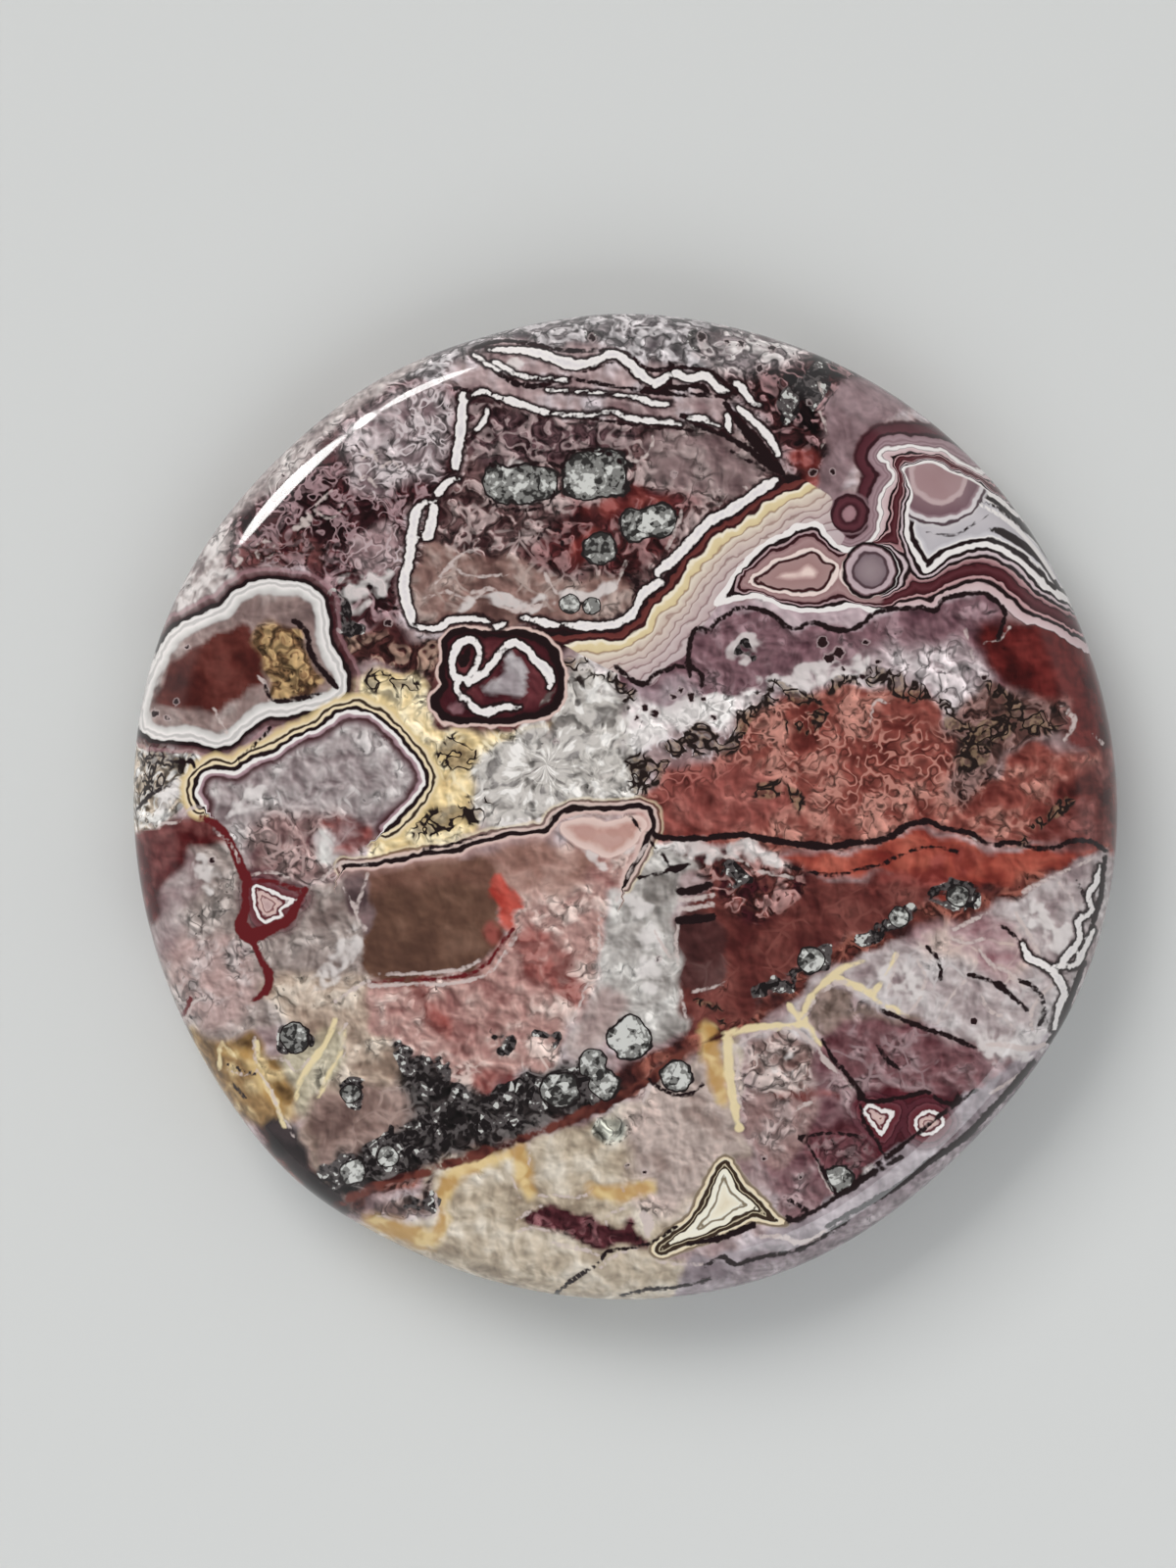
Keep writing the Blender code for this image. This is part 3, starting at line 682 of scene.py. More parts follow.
# Red lines and small red patches.
RED_LINES = (
    ((206, 834, 3), (222, 842, 3.5), (234, 858, 4), (242, 876, 4.5), (249, 892, 5),
     (254, 902, 4)),
    ((252, 898, 4), (250, 912, 3), (251, 926, 3.5), (246, 944, 7), (256, 955, 8), (270, 950, 6),
     (284, 944, 5), (296, 936, 5), (305, 920, 3), (313, 907, 2)),
    ((258, 960, 4), (264, 974, 2.5), (270, 986, 4), (274, 996, 4.5), (272, 1010, 4),
     (258, 1021, 1.5)),
    ((194, 1020, 3), (190, 1032, 2), (180, 1040, 1)),
    ((262, 899, 2), (280, 900, 2), (298, 906, 2), (312, 910, 2)),
    ((380, 1002, 1), (420, 999, 1.5), (450, 999, 1.5), (478, 994, 1.5), (496, 984, 1.5),
     (510, 966, 1.5), (524, 948, 1)),
)

# The brown line under the dark diagonal band.
BROWN_LINES = (
    ((330, 1236, 3), (352, 1226, 4), (391, 1207, 5), (427, 1197, 4), (480, 1180, 5),
     (535, 1161, 4),
     (592, 1138, 6), (648, 1112, 5), (680, 1090, 6), (699, 1073, 4), (740, 1054, 2)),
)

# Soft ochre veins.
OCHRE_LINES = (
    ((530, 1168, 4), (532, 1184, 9), (534, 1204, 9), (540, 1220, 4)),
    ((522, 1178, 5), (490, 1188, 7), (462, 1200, 8), (450, 1226, 6)),
    ((376, 1244, 5), (410, 1256, 10), (440, 1264, 9), (452, 1242, 5)),
    ((722, 1052, 8), (724, 1074, 9), (732, 1100, 9), (738, 1122, 6)),
    ((604, 1214, 5), (630, 1218, 8), (660, 1212, 7)),
    ((228, 1074, 2), (250, 1076, 3), (262, 1094, 4), (274, 1116, 4), (290, 1134, 2)),
)

# Thin cream veins.
CREAM_LINES = (
    ((740, 1056, 4), (760, 1050, 3), (790, 1047, 3), (817, 1045, 3), (822, 1028, 2.5),
     (832, 1012, 2.5), (848, 998, 3.5), (862, 1001, 2.5), (880, 1010, 3), (900, 1024, 2.5),
     (926, 1036, 1.5)),
    ((806, 1026, 2), (814, 1038, 3), (828, 1052, 3), (838, 1068, 2)),
    ((846, 996, 3), (866, 986, 2), (884, 980, 1.5)),
    ((742, 1058, 4), (744, 1090, 4), (748, 1120, 4), (754, 1150, 3)),
    ((892, 1014, 2), (904, 994, 1), (914, 974, 1)),
    ((224, 1090, 1), (226, 1064, 1.5), (240, 1080, 1)),
    ((262, 1062, 1), (264, 1084, 1.5), (272, 1108, 1.5), (284, 1130, 1.5), (290, 1150, 1)),
    ((342, 1040, 1), (334, 1062, 2), (318, 1084, 2), (306, 1104, 2), (302, 1122, 1)),
    ((352, 1050, 1), (346, 1078, 1.5), (334, 1098, 1.5), (326, 1120, 1)),
)

# Pigment patches, each the softness of its edge and a line of (x, y, reach).
BLACK_PATCHES = (
    (8, ((340, 1200, 14), (400, 1172, 18), (470, 1144, 22), (540, 1120, 20), (600, 1104, 14))),
    (6, ((412, 1076, 8), (440, 1096, 16), (462, 1112, 10))),
    (5, ((300, 1058, 15), (302, 1060, 15))),
    (5, ((356, 1112, 11), (360, 1118, 11))),
    (4, ((508, 1056, 5), (520, 1068, 9), (526, 1058, 6))),
    (4, ((546, 1056, 5), (562, 1062, 7))),
    (5, ((822, 984, 12), (842, 978, 10))),
    (5, ((880, 958, 5), (904, 944, 7), (930, 932, 9))),
    (8, ((960, 912, 12), (990, 914, 12))),
    (8, ((804, 416, 12), (826, 398, 16), (836, 376, 8))),
    (6, ((346, 612, 8), (352, 636, 9), (368, 640, 8))),
    (5, ((420, 1228, 8), (436, 1226, 8))),
    (6, ((800, 1000, 12), (770, 1016, 6))),
    (4, ((746, 892, 10), (766, 902, 7))),
    (8, ((706, 340, 5), (720, 348, 6))),
    (5, ((604, 344, 4), (610, 348, 4))),
    (4, ((754, 668, 3), (764, 662, 5), (770, 672, 4))),
)
OLIVE_PATCHES = (
    (8, ((644, 776, 10), (668, 784, 12), (690, 766, 10), (720, 752, 12), (740, 764, 10),
         (754, 744, 9))),
    (7, ((756, 742, 6), (770, 716, 9), (800, 706, 11), (824, 716, 9), (836, 730, 8))),
    (7, ((804, 740, 6), (826, 744, 9), (838, 726, 8))),
    (6, ((846, 702, 6), (870, 692, 6), (902, 690, 7), (930, 706, 9), (956, 712, 7))),
    (8, ((960, 716, 6), (984, 744, 8), (982, 780, 10), (1000, 760, 10), (1020, 740, 10))),
    (8, ((1010, 700, 8), (1040, 730, 14), (1076, 740, 12))),
    (7, ((776, 808, 8), (800, 806, 10), (812, 820, 8))),
    (7, ((596, 682, 5), (620, 694, 7), (636, 706, 6), (640, 726, 4))),
    (8, ((650, 792, 7), (650, 806, 5))),
    (7, ((376, 694, 6), (404, 700, 7), (424, 696, 6))),
    (9, ((460, 762, 10), (452, 786, 7), (474, 768, 9))),
    (9, ((432, 838, 12), (470, 832, 14), (496, 822, 8))),
    (7, ((150, 776, 10), (180, 776, 10), (150, 806, 9))),
    (8, ((700, 1012, 2), (740, 1040, 4))),
    (7, ((1090, 822, 8), (1060, 838, 8), (1050, 858, 6))),
    (8, ((578, 676, 6), (590, 690, 6))),
)
RED_PATCHES = (
    (14, ((534, 956, 12), (560, 984, 24), (584, 1016, 13))),
    (12, ((500, 950, 4), (530, 960, 6))),
    (12, ((424, 1014, 14), (440, 1034, 16), (452, 1052, 8))),
    (9, ((490, 1100, 12), (512, 1104, 10))),
    (9, ((466, 1076, 8), (474, 1092, 6))),
    (9, ((330, 840, 4), (370, 850, 10), (352, 864, 8))),
    (12, ((960, 880, 10), (990, 886, 10), (900, 900, 8))),
    (10, ((612, 520, 12), (680, 506, 6))),
    (10, ((604, 556, 12), (590, 566, 10))),
    (9, ((820, 470, 10), (826, 486, 8))),
    (7, ((786, 1114, 2), (850, 1120, 4))),
)
WHITE_PATCHES = (
    (12, ((1010, 1066, 12), (1050, 1070, 14), (1066, 1060, 10))),
    (12, ((560, 770, 26), (600, 740, 18), (520, 790, 24))),
    (9, ((524, 836, 12), (560, 820, 10), (500, 812, 10))),
    (10, ((660, 744, 18), (690, 730, 16), (730, 722, 14))),
    (8, ((780, 700, 10), (830, 690, 10), (880, 676, 9))),
    (8, ((620, 884, 6), (600, 868, 10), (640, 860, 6))),
    (12, ((640, 920, 14), (660, 940, 14), (668, 1000, 12))),
    (8, ((700, 866, 10), (744, 868, 11), (790, 872, 8))),
    (8, ((356, 616, 12), (378, 600, 11), (400, 590, 6), (350, 590, 6))),
    (7, ((470, 618, 5), (510, 612, 6), (552, 616, 7), (600, 606, 6), (624, 598, 5))),
    (12, ((230, 600, 14), (190, 626, 10), (216, 570, 12))),
    (10, ((204, 880, 8), (212, 900, 9))),
    (10, ((236, 828, 8), (262, 812, 8), (270, 806, 6))),
    (10, ((360, 960, 12), (330, 1000, 12))),
    (8, ((860, 1200, 6), (884, 1192, 6))),
    (6, ((792, 1088, 5), (802, 1078, 6), (808, 1092, 5))),
    (8, ((754, 668, 12), (768, 660, 12))),
    (12, ((910, 992, 14), (930, 1010, 16))),
    (9, ((1060, 930, 12), (1080, 960, 14))),
    (9, ((530, 490, 16), (548, 500, 12))),
    (6, ((490, 376, 2), (530, 372, 4))),
    (9, ((166, 818, 10), (186, 790, 7))),
)

# Where the white crystals with their rays are.
DRUSE_PATCHES = (
    (14, ((568, 772, 44), (600, 730, 34), (610, 780, 34), (540, 800, 40), (510, 786, 26))),
    (10, ((600, 700, 18), (622, 730, 16), (632, 770, 12))),
)

# Where the ground breaks into small grains, and where pale and dark curls run through it.
GRAIN_PATCHES = (
    (20, ((480, 600, 46), (560, 600, 40))),
    (20, ((500, 530, 40), (520, 560, 36))),
    (26, ((900, 1000, 50), (1020, 990, 60))),
    (26, ((860, 1090, 60), (930, 1080, 50))),
    (20, ((330, 800, 50), (300, 860, 30))),
    (20, ((480, 790, 50), (560, 760, 60), (620, 800, 30))),
    (30, ((700, 1000, 20), (900, 930, 30))),
    (20, ((440, 1140, 60), (560, 1110, 50), (350, 1190, 40))),
)
LOOP_PATCHES = (
    (16, ((890, 770, 46), (860, 800, 32), (930, 784, 40), (820, 760, 24))),
    (12, ((560, 760, 40), (596, 780, 34), (520, 800, 30))),
    (12, ((300, 540, 40), (340, 500, 50), (380, 560, 40), (440, 420, 26))),
    (16, ((690, 770, 34), (740, 750, 34), (660, 790, 26), (800, 720, 30))),
    (16, ((990, 750, 26), (980, 790, 26))),
    (14, ((170, 790, 24), (150, 820, 14))),
)

# Round crystal-filled orbs: (x, y, radius, how much brighter than middling).
ORBS = (
    (642, 1059, 21, 0.1), (571, 1112, 19, -0.06), (616, 1106, 15, 0.0), (604, 1084, 14, -0.14),
    (690, 1098, 15, -0.04), (300, 1058, 15, -0.12), (360, 1196, 13, 0.0), (395, 1180, 11, 0.0),
    (978, 914, 11, -0.08), (828, 980, 13, -0.02), (918, 936, 10, -0.04), (600, 486, 25, -0.06),
    (618, 484, 24, -0.06), (512, 494, 19, -0.03), (534, 494, 20, -0.03), (552, 494, 17, -0.03),
    (672, 530, 17, -0.06), (650, 536, 17, -0.06), (612, 560, 16, -0.1), (582, 616, 10, 0.04),
    (604, 618, 9, 0.0), (358, 1116, 10, -0.2), (856, 1204, 14, 0.02),
)

# Small dark pores with a pale rim: (x, y, radius).
PORES = (
    (658, 722, 4), (668, 728, 5), (650, 733, 3), (687, 711, 3), (695, 704, 4), (705, 711, 5),
    (718, 712, 3), (839, 655, 6), (846, 672, 5), (856, 666, 6), (861, 682, 3), (884, 655, 3),
    (880, 690, 3), (887, 687, 3), (896, 676, 3), (568, 757, 3), (728, 732, 3), (756, 352, 4),
    (788, 356, 4), (776, 376, 4), (742, 350, 3), (850, 482, 3), (836, 502, 3), (830, 482, 4),
    (826, 410, 3), (216, 878, 3), (250, 970, 3), (348, 804, 2), (172, 984, 2), (396, 635, 4),
    (716, 344, 5), (604, 345, 4), (1004, 690, 3), (640, 1190, 2), (658, 1196, 3),
    (780, 1182, 3), (636, 1214, 2), (816, 1200, 3), (994, 1042, 4), (672, 978, 3),
    (192, 660, 3), (180, 716, 3), (158, 728, 4), (170, 732, 3), (688, 484, 3), (290, 486, 3),
    (346, 612, 4),
)

# The line above the brown block and the pink ground, and the small lobed shape under it.
BLOCK_TOP = (
    (352, 884), (378, 883), (400, 878), (440, 871), (464, 869), (482, 861), (504, 855),
    (534, 850), (556, 848), (564, 838), (576, 828), (594, 824), (622, 826), (650, 823),
    (663, 828), (667, 840), (662, 853), (654, 868), (646, 884), (636, 902),
)
BLOCK_BELOW = ((620, 940), (500, 960), (352, 930))
LOBE = (
    (573, 845), (580, 837), (600, 835), (620, 839), (640, 834), (655, 833), (660, 842),
    (652, 856), (640, 868), (622, 874), (604, 868), (586, 860),
)

# The small agates: a triangle at the bottom, and three little eyes.
TRIANGLE = (
    (741, 1179), (752, 1190), (762, 1207), (778, 1219), (790, 1236), (804, 1249), (786, 1250),
    (768, 1247), (744, 1259), (718, 1271), (694, 1278), (674, 1285), (664, 1277), (672, 1262),
    (688, 1250), (702, 1238), (712, 1221), (718, 1204), (728, 1188),
)
LEFT_EYE = (
    (258, 902), (275, 906), (290, 914), (306, 917), (297, 924), (289, 929), (292, 938),
    (280, 939), (272, 944), (262, 936), (257, 920),
)
RIGHT_EYE = (
    (932, 1149), (934, 1139), (946, 1132), (960, 1136), (965, 1146), (957, 1156), (945, 1160),
    (936, 1157),
)
SMALL_EYE = (
    (879, 1134), (889, 1125), (900, 1131), (914, 1132), (908, 1146), (900, 1160), (891, 1151),
)

# The lace agate: three kernels, the bright line round them, and its open upper part.
LACE_LEFT = (
    (762, 594), (779, 581), (795, 571), (815, 565), (830, 559), (842, 570), (853, 576),
    (848, 592), (838, 603), (815, 606), (795, 604), (775, 599),
)
LACE_RIGHT = (
    (921, 478), (935, 473), (952, 471), (969, 480), (990, 488), (1012, 502), (1036, 522),
    (1066, 548), (1110, 590), (1110, 622), (1078, 606), (1062, 594), (1046, 578), (1028, 564),
    (1006, 556), (984, 560), (962, 569), (946, 583), (936, 566), (925, 546), (926, 520),
    (930, 505), (925, 490),
)
LACE_EYE = (888, 582)
LACE_LOBE = (867, 524)
PINK_EYE = (958, 484)
LACE_EDGE_TOP = (
    (835, 536), (846, 548), (856, 558), (868, 562), (884, 558), (894, 548), (899, 535),
    (900, 515), (904, 501), (912, 492), (914, 482), (908, 473), (900, 466), (906, 460),
    (925, 458), (945, 460), (962, 463), (976, 472), (992, 480), (1014, 490), (1050, 516),
    (1090, 550),
)
LACE_EDGE = (
    (732, 616), (744, 597), (755, 581), (765, 569), (780, 557), (800, 545), (815, 536),
) + LACE_EDGE_TOP + (
    (1130, 600), (1130, 690), (1112, 670), (1086, 652), (1060, 640), (1042, 634), (1028, 624),
    (1015, 612), (1000, 606), (980, 607), (962, 613), (955, 623), (940, 621), (922, 621),
    (896, 624), (882, 620), (868, 618), (850, 622), (810, 622), (786, 613), (762, 608),
)

# Lines in the right part of the lace: a white one, and black ones beside it.
LACE_WHITE_LINES = (
    ((1000, 515, 1), (1012, 521, 1.5), (1026, 530, 1.5), (1042, 544, 1.5), (1060, 565, 1.5),
     (1076, 590, 1)),
)
LACE_BLACK_LINES = (
    ((998, 511, 0.5), (1014, 516, 1), (1030, 528, 1), (1046, 541, 1), (1062, 558, 1),
     (1080, 586, 0.5)),
    ((1008, 540, 1), (1020, 542, 3), (1036, 551, 3.5), (1052, 563, 3), (1066, 578, 2),
     (1082, 602, 1)),
    ((946, 543, 0.5), (974, 546, 0.8), (994, 534, 0.8), (1010, 525, 0.5)),
)

# The line that the cream bands beside the big fragment run along, and their ground.
FRINGE_LINE = (
    (530, 640), (600, 640), (626, 637), (646, 625), (655, 607), (673, 594), (688, 571),
    (704, 553), (722, 534), (745, 521), (765, 508), (781, 496), (800, 486), (820, 478),
)
FRINGE_GROUND = (
    (540, 641), (600, 640), (626, 637), (646, 625), (655, 607), (673, 594), (688, 571),
    (704, 553), (722, 534), (745, 521), (765, 508), (781, 496), (806, 484), (834, 498),
    (849, 509), (847, 524), (851, 537), (862, 548), (850, 560), (835, 540), (815, 537),
    (800, 546), (780, 558), (765, 570), (745, 598), (735, 615), (716, 640), (704, 650),
    (700, 668), (680, 680), (664, 700), (636, 690), (600, 672), (572, 656),
)

# Bands by distance, each (distance, colour), and how much it covers where it isn't all.
# Inside is less than 0.
EGG_BANDS = (
    (-17.0, GREY, 0.0), (-14.0, GREY_LIGHT, 0.9), (-11.0, PALE_GREY), (-8.0, WHITE),
    (-6.5, GREY_LIGHT), (-5.0, GREY_LIGHT), (-3.5, WHITE), (-1.5, PALE_GREY), (-0.5, INK),
    (2.4, INK), (4.0, DEEP_MAROON, 0.9), (7.5, (80, 42, 46), 0.7), (9.0, LILAC_MAROON, 0.7),
    (11.6, LILAC_MAROON, 0.6), (14.0, DEEP_MAROON, 0.0),
)
SHIELD_BANDS = (
    (-16.0, LILAC_DARK, 0.0), (-12.0, (92, 60, 66), 0.7), (-10.0, DEEP_MAROON, 0.9),
    (-8.4, DEEP_MAROON, 0.9), (-7.2, (150, 120, 128)), (-5.0, (176, 150, 156)), (-3.8, WHITE),
    (-1.4, WHITE), (-0.2, INK), (2.8, INK), (4.0, CREAM), (5.8, CREAM), (6.8, UMBER),
    (8.4, UMBER), (9.6, CREAM), (13.0, YELLOW_CREAM, 0.9), (18.0, YELLOW_CREAM, 0.0),
)
RING_BANDS = (
    (-11.0, DEEP_MAROON, 0.0), (-8.0, DEEP_MAROON), (-6.0, INK), (0.6, INK),
    (1.8, PINK_LIGHT), (3.4, PINK_LIGHT), (5.0, PINK, 0.0),
)
BLOCK_BANDS = (
    (-14.0, PINK_DARK, 0.0), (-7.0, PINK, 0.3), (-4.5, (214, 182, 176), 0.9),
    (-2.6, PINK_LIGHT), (-1.4, INK), (2.2, INK), (3.4, CREAM_PINK, 0.95),
    (5.2, PINK_LIGHT, 0.9), (6.4, (104, 76, 66), 0.85), (8.0, (104, 76, 66), 0.8),
    (9.2, CREAM, 0.6), (12.0, CREAM, 0.0),
)
LOBE_BANDS = (
    (-15.0, (192, 150, 140), 0.9), (-9.0, (190, 146, 136), 0.9), (-6.0, (206, 170, 160), 0.9),
    (-4.0, PINK_LIGHT), (0.0, (226, 200, 192)), (2.5, PINK, 0.0),
)
TRIANGLE_BANDS = (
    (-30.0, (220, 206, 178)), (-22.0, (238, 230, 210)), (-20.0, (240, 236, 222)),
    (-18.8, (136, 124, 104)), (-17.4, (136, 124, 104)), (-16.4, (240, 236, 222)),
    (-12.0, (240, 234, 215)), (-11.2, UMBER), (-9.8, UMBER), (-9.0, (206, 192, 164)),
    (-8.2, UMBER), (-5.2, UMBER), (-4.2, (230, 218, 194)), (-2.0, CREAM),
    (-0.8, (124, 108, 90)), (1.2, (140, 124, 106), 0.9), (3.0, CREAM_GREY, 0.0),
)
EYE_BANDS = (
    (-16.0, (176, 146, 146)), (-11.5, (204, 176, 172)), (-10.0, (120, 70, 76)),
    (-9.0, PINK_LIGHT), (-6.8, (200, 170, 168)), (-5.8, (92, 42, 48)), (-4.6, (92, 42, 48)),
    (-3.6, WHITE), (-1.4, WHITE), (-0.2, (92, 34, 42)), (3.0, (104, 48, 56), 0.9),
    (5.4, (112, 62, 70), 0.9), (6.6, (58, 20, 28), 0.8), (8.0, (92, 42, 52), 0.7),
    (11.0, (96, 48, 58), 0.6), (12.4, (54, 18, 26), 0.6), (14.0, (84, 34, 44), 0.4),
    (18.0, (84, 34, 44), 0.0),
)

# In these two the first number is how far along the way from the lace's kernels to its
# edge a band is, from 0 to 1.
LACE_DARK_BANDS = (
    (0.0, WHITE), (0.04, WHITE), (0.06, INK), (0.12, INK), (0.14, (204, 186, 190)),
    (0.18, (204, 186, 190)), (0.21, INK), (0.26, INK), (0.28, (182, 146, 148)),
    (0.33, (150, 108, 112)), (0.36, (40, 14, 18)), (0.40, (78, 32, 38)), (0.47, (92, 46, 52)),
    (0.55, (72, 28, 34)), (0.61, (52, 18, 24)), (0.63, (192, 152, 154)),
    (0.66, (192, 152, 154)), (0.70, INK), (0.77, INK), (0.80, (200, 172, 174)),
    (0.97, (212, 190, 192)), (1.0, (60, 32, 38)),
)
LACE_PINK_BANDS = (
    (0.0, (234, 214, 208)), (0.07, (234, 214, 208)), (0.12, (150, 116, 116)),
    (0.30, (166, 134, 134)), (0.44, (144, 108, 110)), (0.48, (52, 22, 26)),
    (0.59, (52, 22, 26)), (0.63, (176, 148, 152)), (0.68, (176, 148, 152)), (0.72, INK),
    (0.84, INK), (0.88, WHITE), (1.0, WHITE),
)

# The kernels' own bands. In the round ones the first number is the distance from the
# middle.
LACE_LEFT_BANDS = (
    (-19.0, (232, 208, 200)), (-16.0, (196, 164, 160)), (-13.0, (160, 126, 124)),
    (-5.0, (166, 134, 132)), (-4.0, (58, 28, 30)), (-2.2, (58, 28, 30)),
    (-1.0, (234, 214, 208)), (0.0, (234, 214, 208), 0.0),
)
LACE_RIGHT_BANDS = (
    (-26.0, (196, 190, 194)), (-14.0, (186, 181, 186)), (-10.5, (206, 202, 206)),
    (-8.8, WHITE), (-7.4, INK), (-4.0, INK), (-2.8, WHITE), (-0.6, WHITE), (0.0, WHITE, 0.0),
)
LACE_EYE_BANDS = (
    (0.0, (154, 138, 141)), (9.0, (142, 124, 129)), (14.5, (126, 108, 114)),
    (16.2, (80, 60, 66)), (18.0, (80, 60, 66)), (19.4, (182, 160, 166)),
    (23.4, (194, 174, 179)), (24.8, (120, 92, 98)), (26.0, INK), (28.2, INK),
    (29.6, INK, 0.0),
)
LACE_LOBE_BANDS = (
    (0.0, (168, 132, 138)), (6.5, (156, 118, 124)), (8.5, (60, 28, 34)), (10.0, (66, 30, 38)),
    (13.0, (92, 48, 56)), (16.0, (84, 42, 50)), (17.5, (52, 24, 30)), (19.5, (52, 24, 30)),
    (21.0, (150, 122, 128), 0.6), (24.0, (150, 122, 128), 0.0),
)
PINK_EYE_BANDS = (
    (0.0, (156, 124, 126)), (24.0, (164, 134, 136)), (27.0, (190, 166, 167)),
    (30.0, (190, 166, 167)), (32.0, (132, 104, 110)), (41.0, (118, 90, 98)),
    (44.0, (152, 128, 134)), (46.0, (212, 204, 206)), (49.0, (212, 204, 206)),
    (50.2, (84, 68, 74)), (51.8, (84, 68, 74)), (53.0, (204, 198, 200)),
    (56.0, (204, 198, 200), 0.0),
)

# The bands along the lace's upper edge, and the cream bands beside the big fragment.
LACE_TOP_BANDS = (
    (-3.0, WHITE, 0.0), (-1.6, WHITE), (3.0, WHITE), (4.4, (112, 84, 90)),
    (6.0, (164, 140, 146)), (8.0, (136, 108, 114)), (10.0, (160, 134, 140)),
    (13.0, (146, 118, 124)), (14.4, (52, 24, 30)), (16.4, (52, 24, 30)), (18.0, (88, 44, 52)),
    (24.0, (78, 36, 44)), (26.0, (56, 24, 30)), (27.6, (66, 32, 38), 0.9),
    (30.0, (90, 50, 56), 0.0),
)
FRINGE_BANDS = (
    (5.0, INK), (7.0, INK), (8.2, (98, 46, 44)), (12.0, (108, 54, 50)), (13.2, (56, 24, 26)),
    (15.0, (56, 24, 26)), (16.4, (238, 228, 208)), (18.2, (236, 224, 200)),
    (20.0, (222, 204, 162)), (24.6, (216, 196, 154)), (26.0, (156, 128, 104)),
    (27.8, (224, 212, 196)), (33.0, (200, 180, 168)), (34.4, (160, 132, 122)),
    (35.8, (212, 196, 186)), (41.0, (198, 178, 172)), (42.4, (146, 118, 114)),
    (43.8, (206, 190, 184)), (49.0, (190, 168, 166)), (50.4, (140, 112, 112)),
    (51.8, (204, 188, 186)), (58.0, (188, 166, 166)), (59.4, (136, 110, 112)),
    (61.0, (198, 182, 182)), (69.0, (184, 164, 166)), (70.4, (136, 112, 116)),
    (72.0, (196, 180, 182)), (90.0, (188, 168, 170)),
)
WHITE_VEIN_BANDS = (
    (-6.0, (206, 200, 202)), (-3.0, (226, 220, 221)), (-1.6, WHITE), (-0.2, WHITE),
    (1.0, INK), (2.6, INK, 0.9), (5.0, DEEP_MAROON, 0.0),
)

# Which tables the stone's fields are measured from, by the field's name.
PATCH_FIELDS = {
    "black": BLACK_PATCHES,
    "olive": OLIVE_PATCHES,
    "red": RED_PATCHES,
    "white": WHITE_PATCHES,
    "druse": DRUSE_PATCHES,
    "grains": GRAIN_PATCHES,
    "loops": LOOP_PATCHES,
}
LINE_FIELDS = {
    "white_veins": WHITE_VEINS,
    "dark_lines": DARK_LINES,
    "pale_lines": PALE_LINES,
    "red_lines": RED_LINES,
    "brown_lines": BROWN_LINES,
    "ochre_lines": OCHRE_LINES,
    "cream_lines": CREAM_LINES,
    "lace_white": LACE_WHITE_LINES,
    "lace_black": LACE_BLACK_LINES,
}
OUTLINE_FIELDS = {
    "egg": (EGG, REACH),
    "ring": (RING, REACH),
    "lobe": (LOBE, REACH),
    "triangle": (TRIANGLE, REACH),
    "lace_left": (LACE_LEFT, FRINGE_REACH),
    "lace_right": (LACE_RIGHT, FRINGE_REACH),
    "lace_edge": (LACE_EDGE, FRINGE_REACH),
    "fringe_ground": (FRINGE_GROUND, REACH),
}
SIDE_FIELDS = {
    "shield": (SHIELD_RIM, SHIELD, REACH),
    "block": (BLOCK_TOP, BLOCK_TOP + BLOCK_BELOW, REACH),
    "lace_top": (LACE_EDGE_TOP, LACE_EDGE, LACE_TOP_REACH),
}
CIRCLE_FIELDS = {"lace_eye": LACE_EYE, "lace_lobe": LACE_LOBE, "pink_eye": PINK_EYE}
SMALL_EYES = (LEFT_EYE, RIGHT_EYE, SMALL_EYE)
# The farthest an orb is felt, as a share of its radius.
ORB_REACH = 2.0

# The noises: the width of the largest lumps, in picture units, and the finer detail.
FINE = (16.0, 1.5)
COARSE = (42.0, 2.0)
SPECKS = (6.0, 1.0)
STROKES = (26.0, 1.5)
CURLS = (11.0, 0.5)
NOISE_ROUGHNESS = 0.6
NOISE_MIDDLE = 0.5
# Noise times this strays by about 1 either way from its middle.
NOISE_SPAN = 4.0
# How wide the lumps are that stir the pattern's place, how much finer detail they have,
# and how far they move it.
STIR_SIZE = 30.0
STIR_DETAIL = 1.0
STIR_REACH = 4.0
# How far noise moves the edges of bands, of fine lines and of ragged ones.
BAND_WAVE = 2.2
LINE_WAVES = (1.0, 0.8)
RAGGED_WAVE = 0.5
# How much more the edges of white veins, cream bands and lace lines stray.
VEIN_ROUGHNESS = 1.6
FRINGE_WAVE = 1.6
LACE_LINE_WAVE = 0.4
# How far the grain is moved against itself for the painted relief shade, which makes its lumps
# look raised, in picture units.
RELIEF_SHADE_STEP = (2.0, 2.0)

# Squiggles run where a noise is near a level: (level, outer, inner).
LIGHT_SQUIGGLES = (0.6, 0.05, 0.015)
DARK_SQUIGGLES = (0.5, 0.045, 0.012)
PALE_CURLS = (0.54, 0.055, 0.02)
DARK_CURLS = (0.42, 0.05, 0.02)
OLIVE_NET = (0.5, 0.05, 0.02)
OLIVE_NET_ACROSS = (0.52, 0.035, 0.015)
LACE_EDGE_LINE = (0.0, 3.0, 1.8)

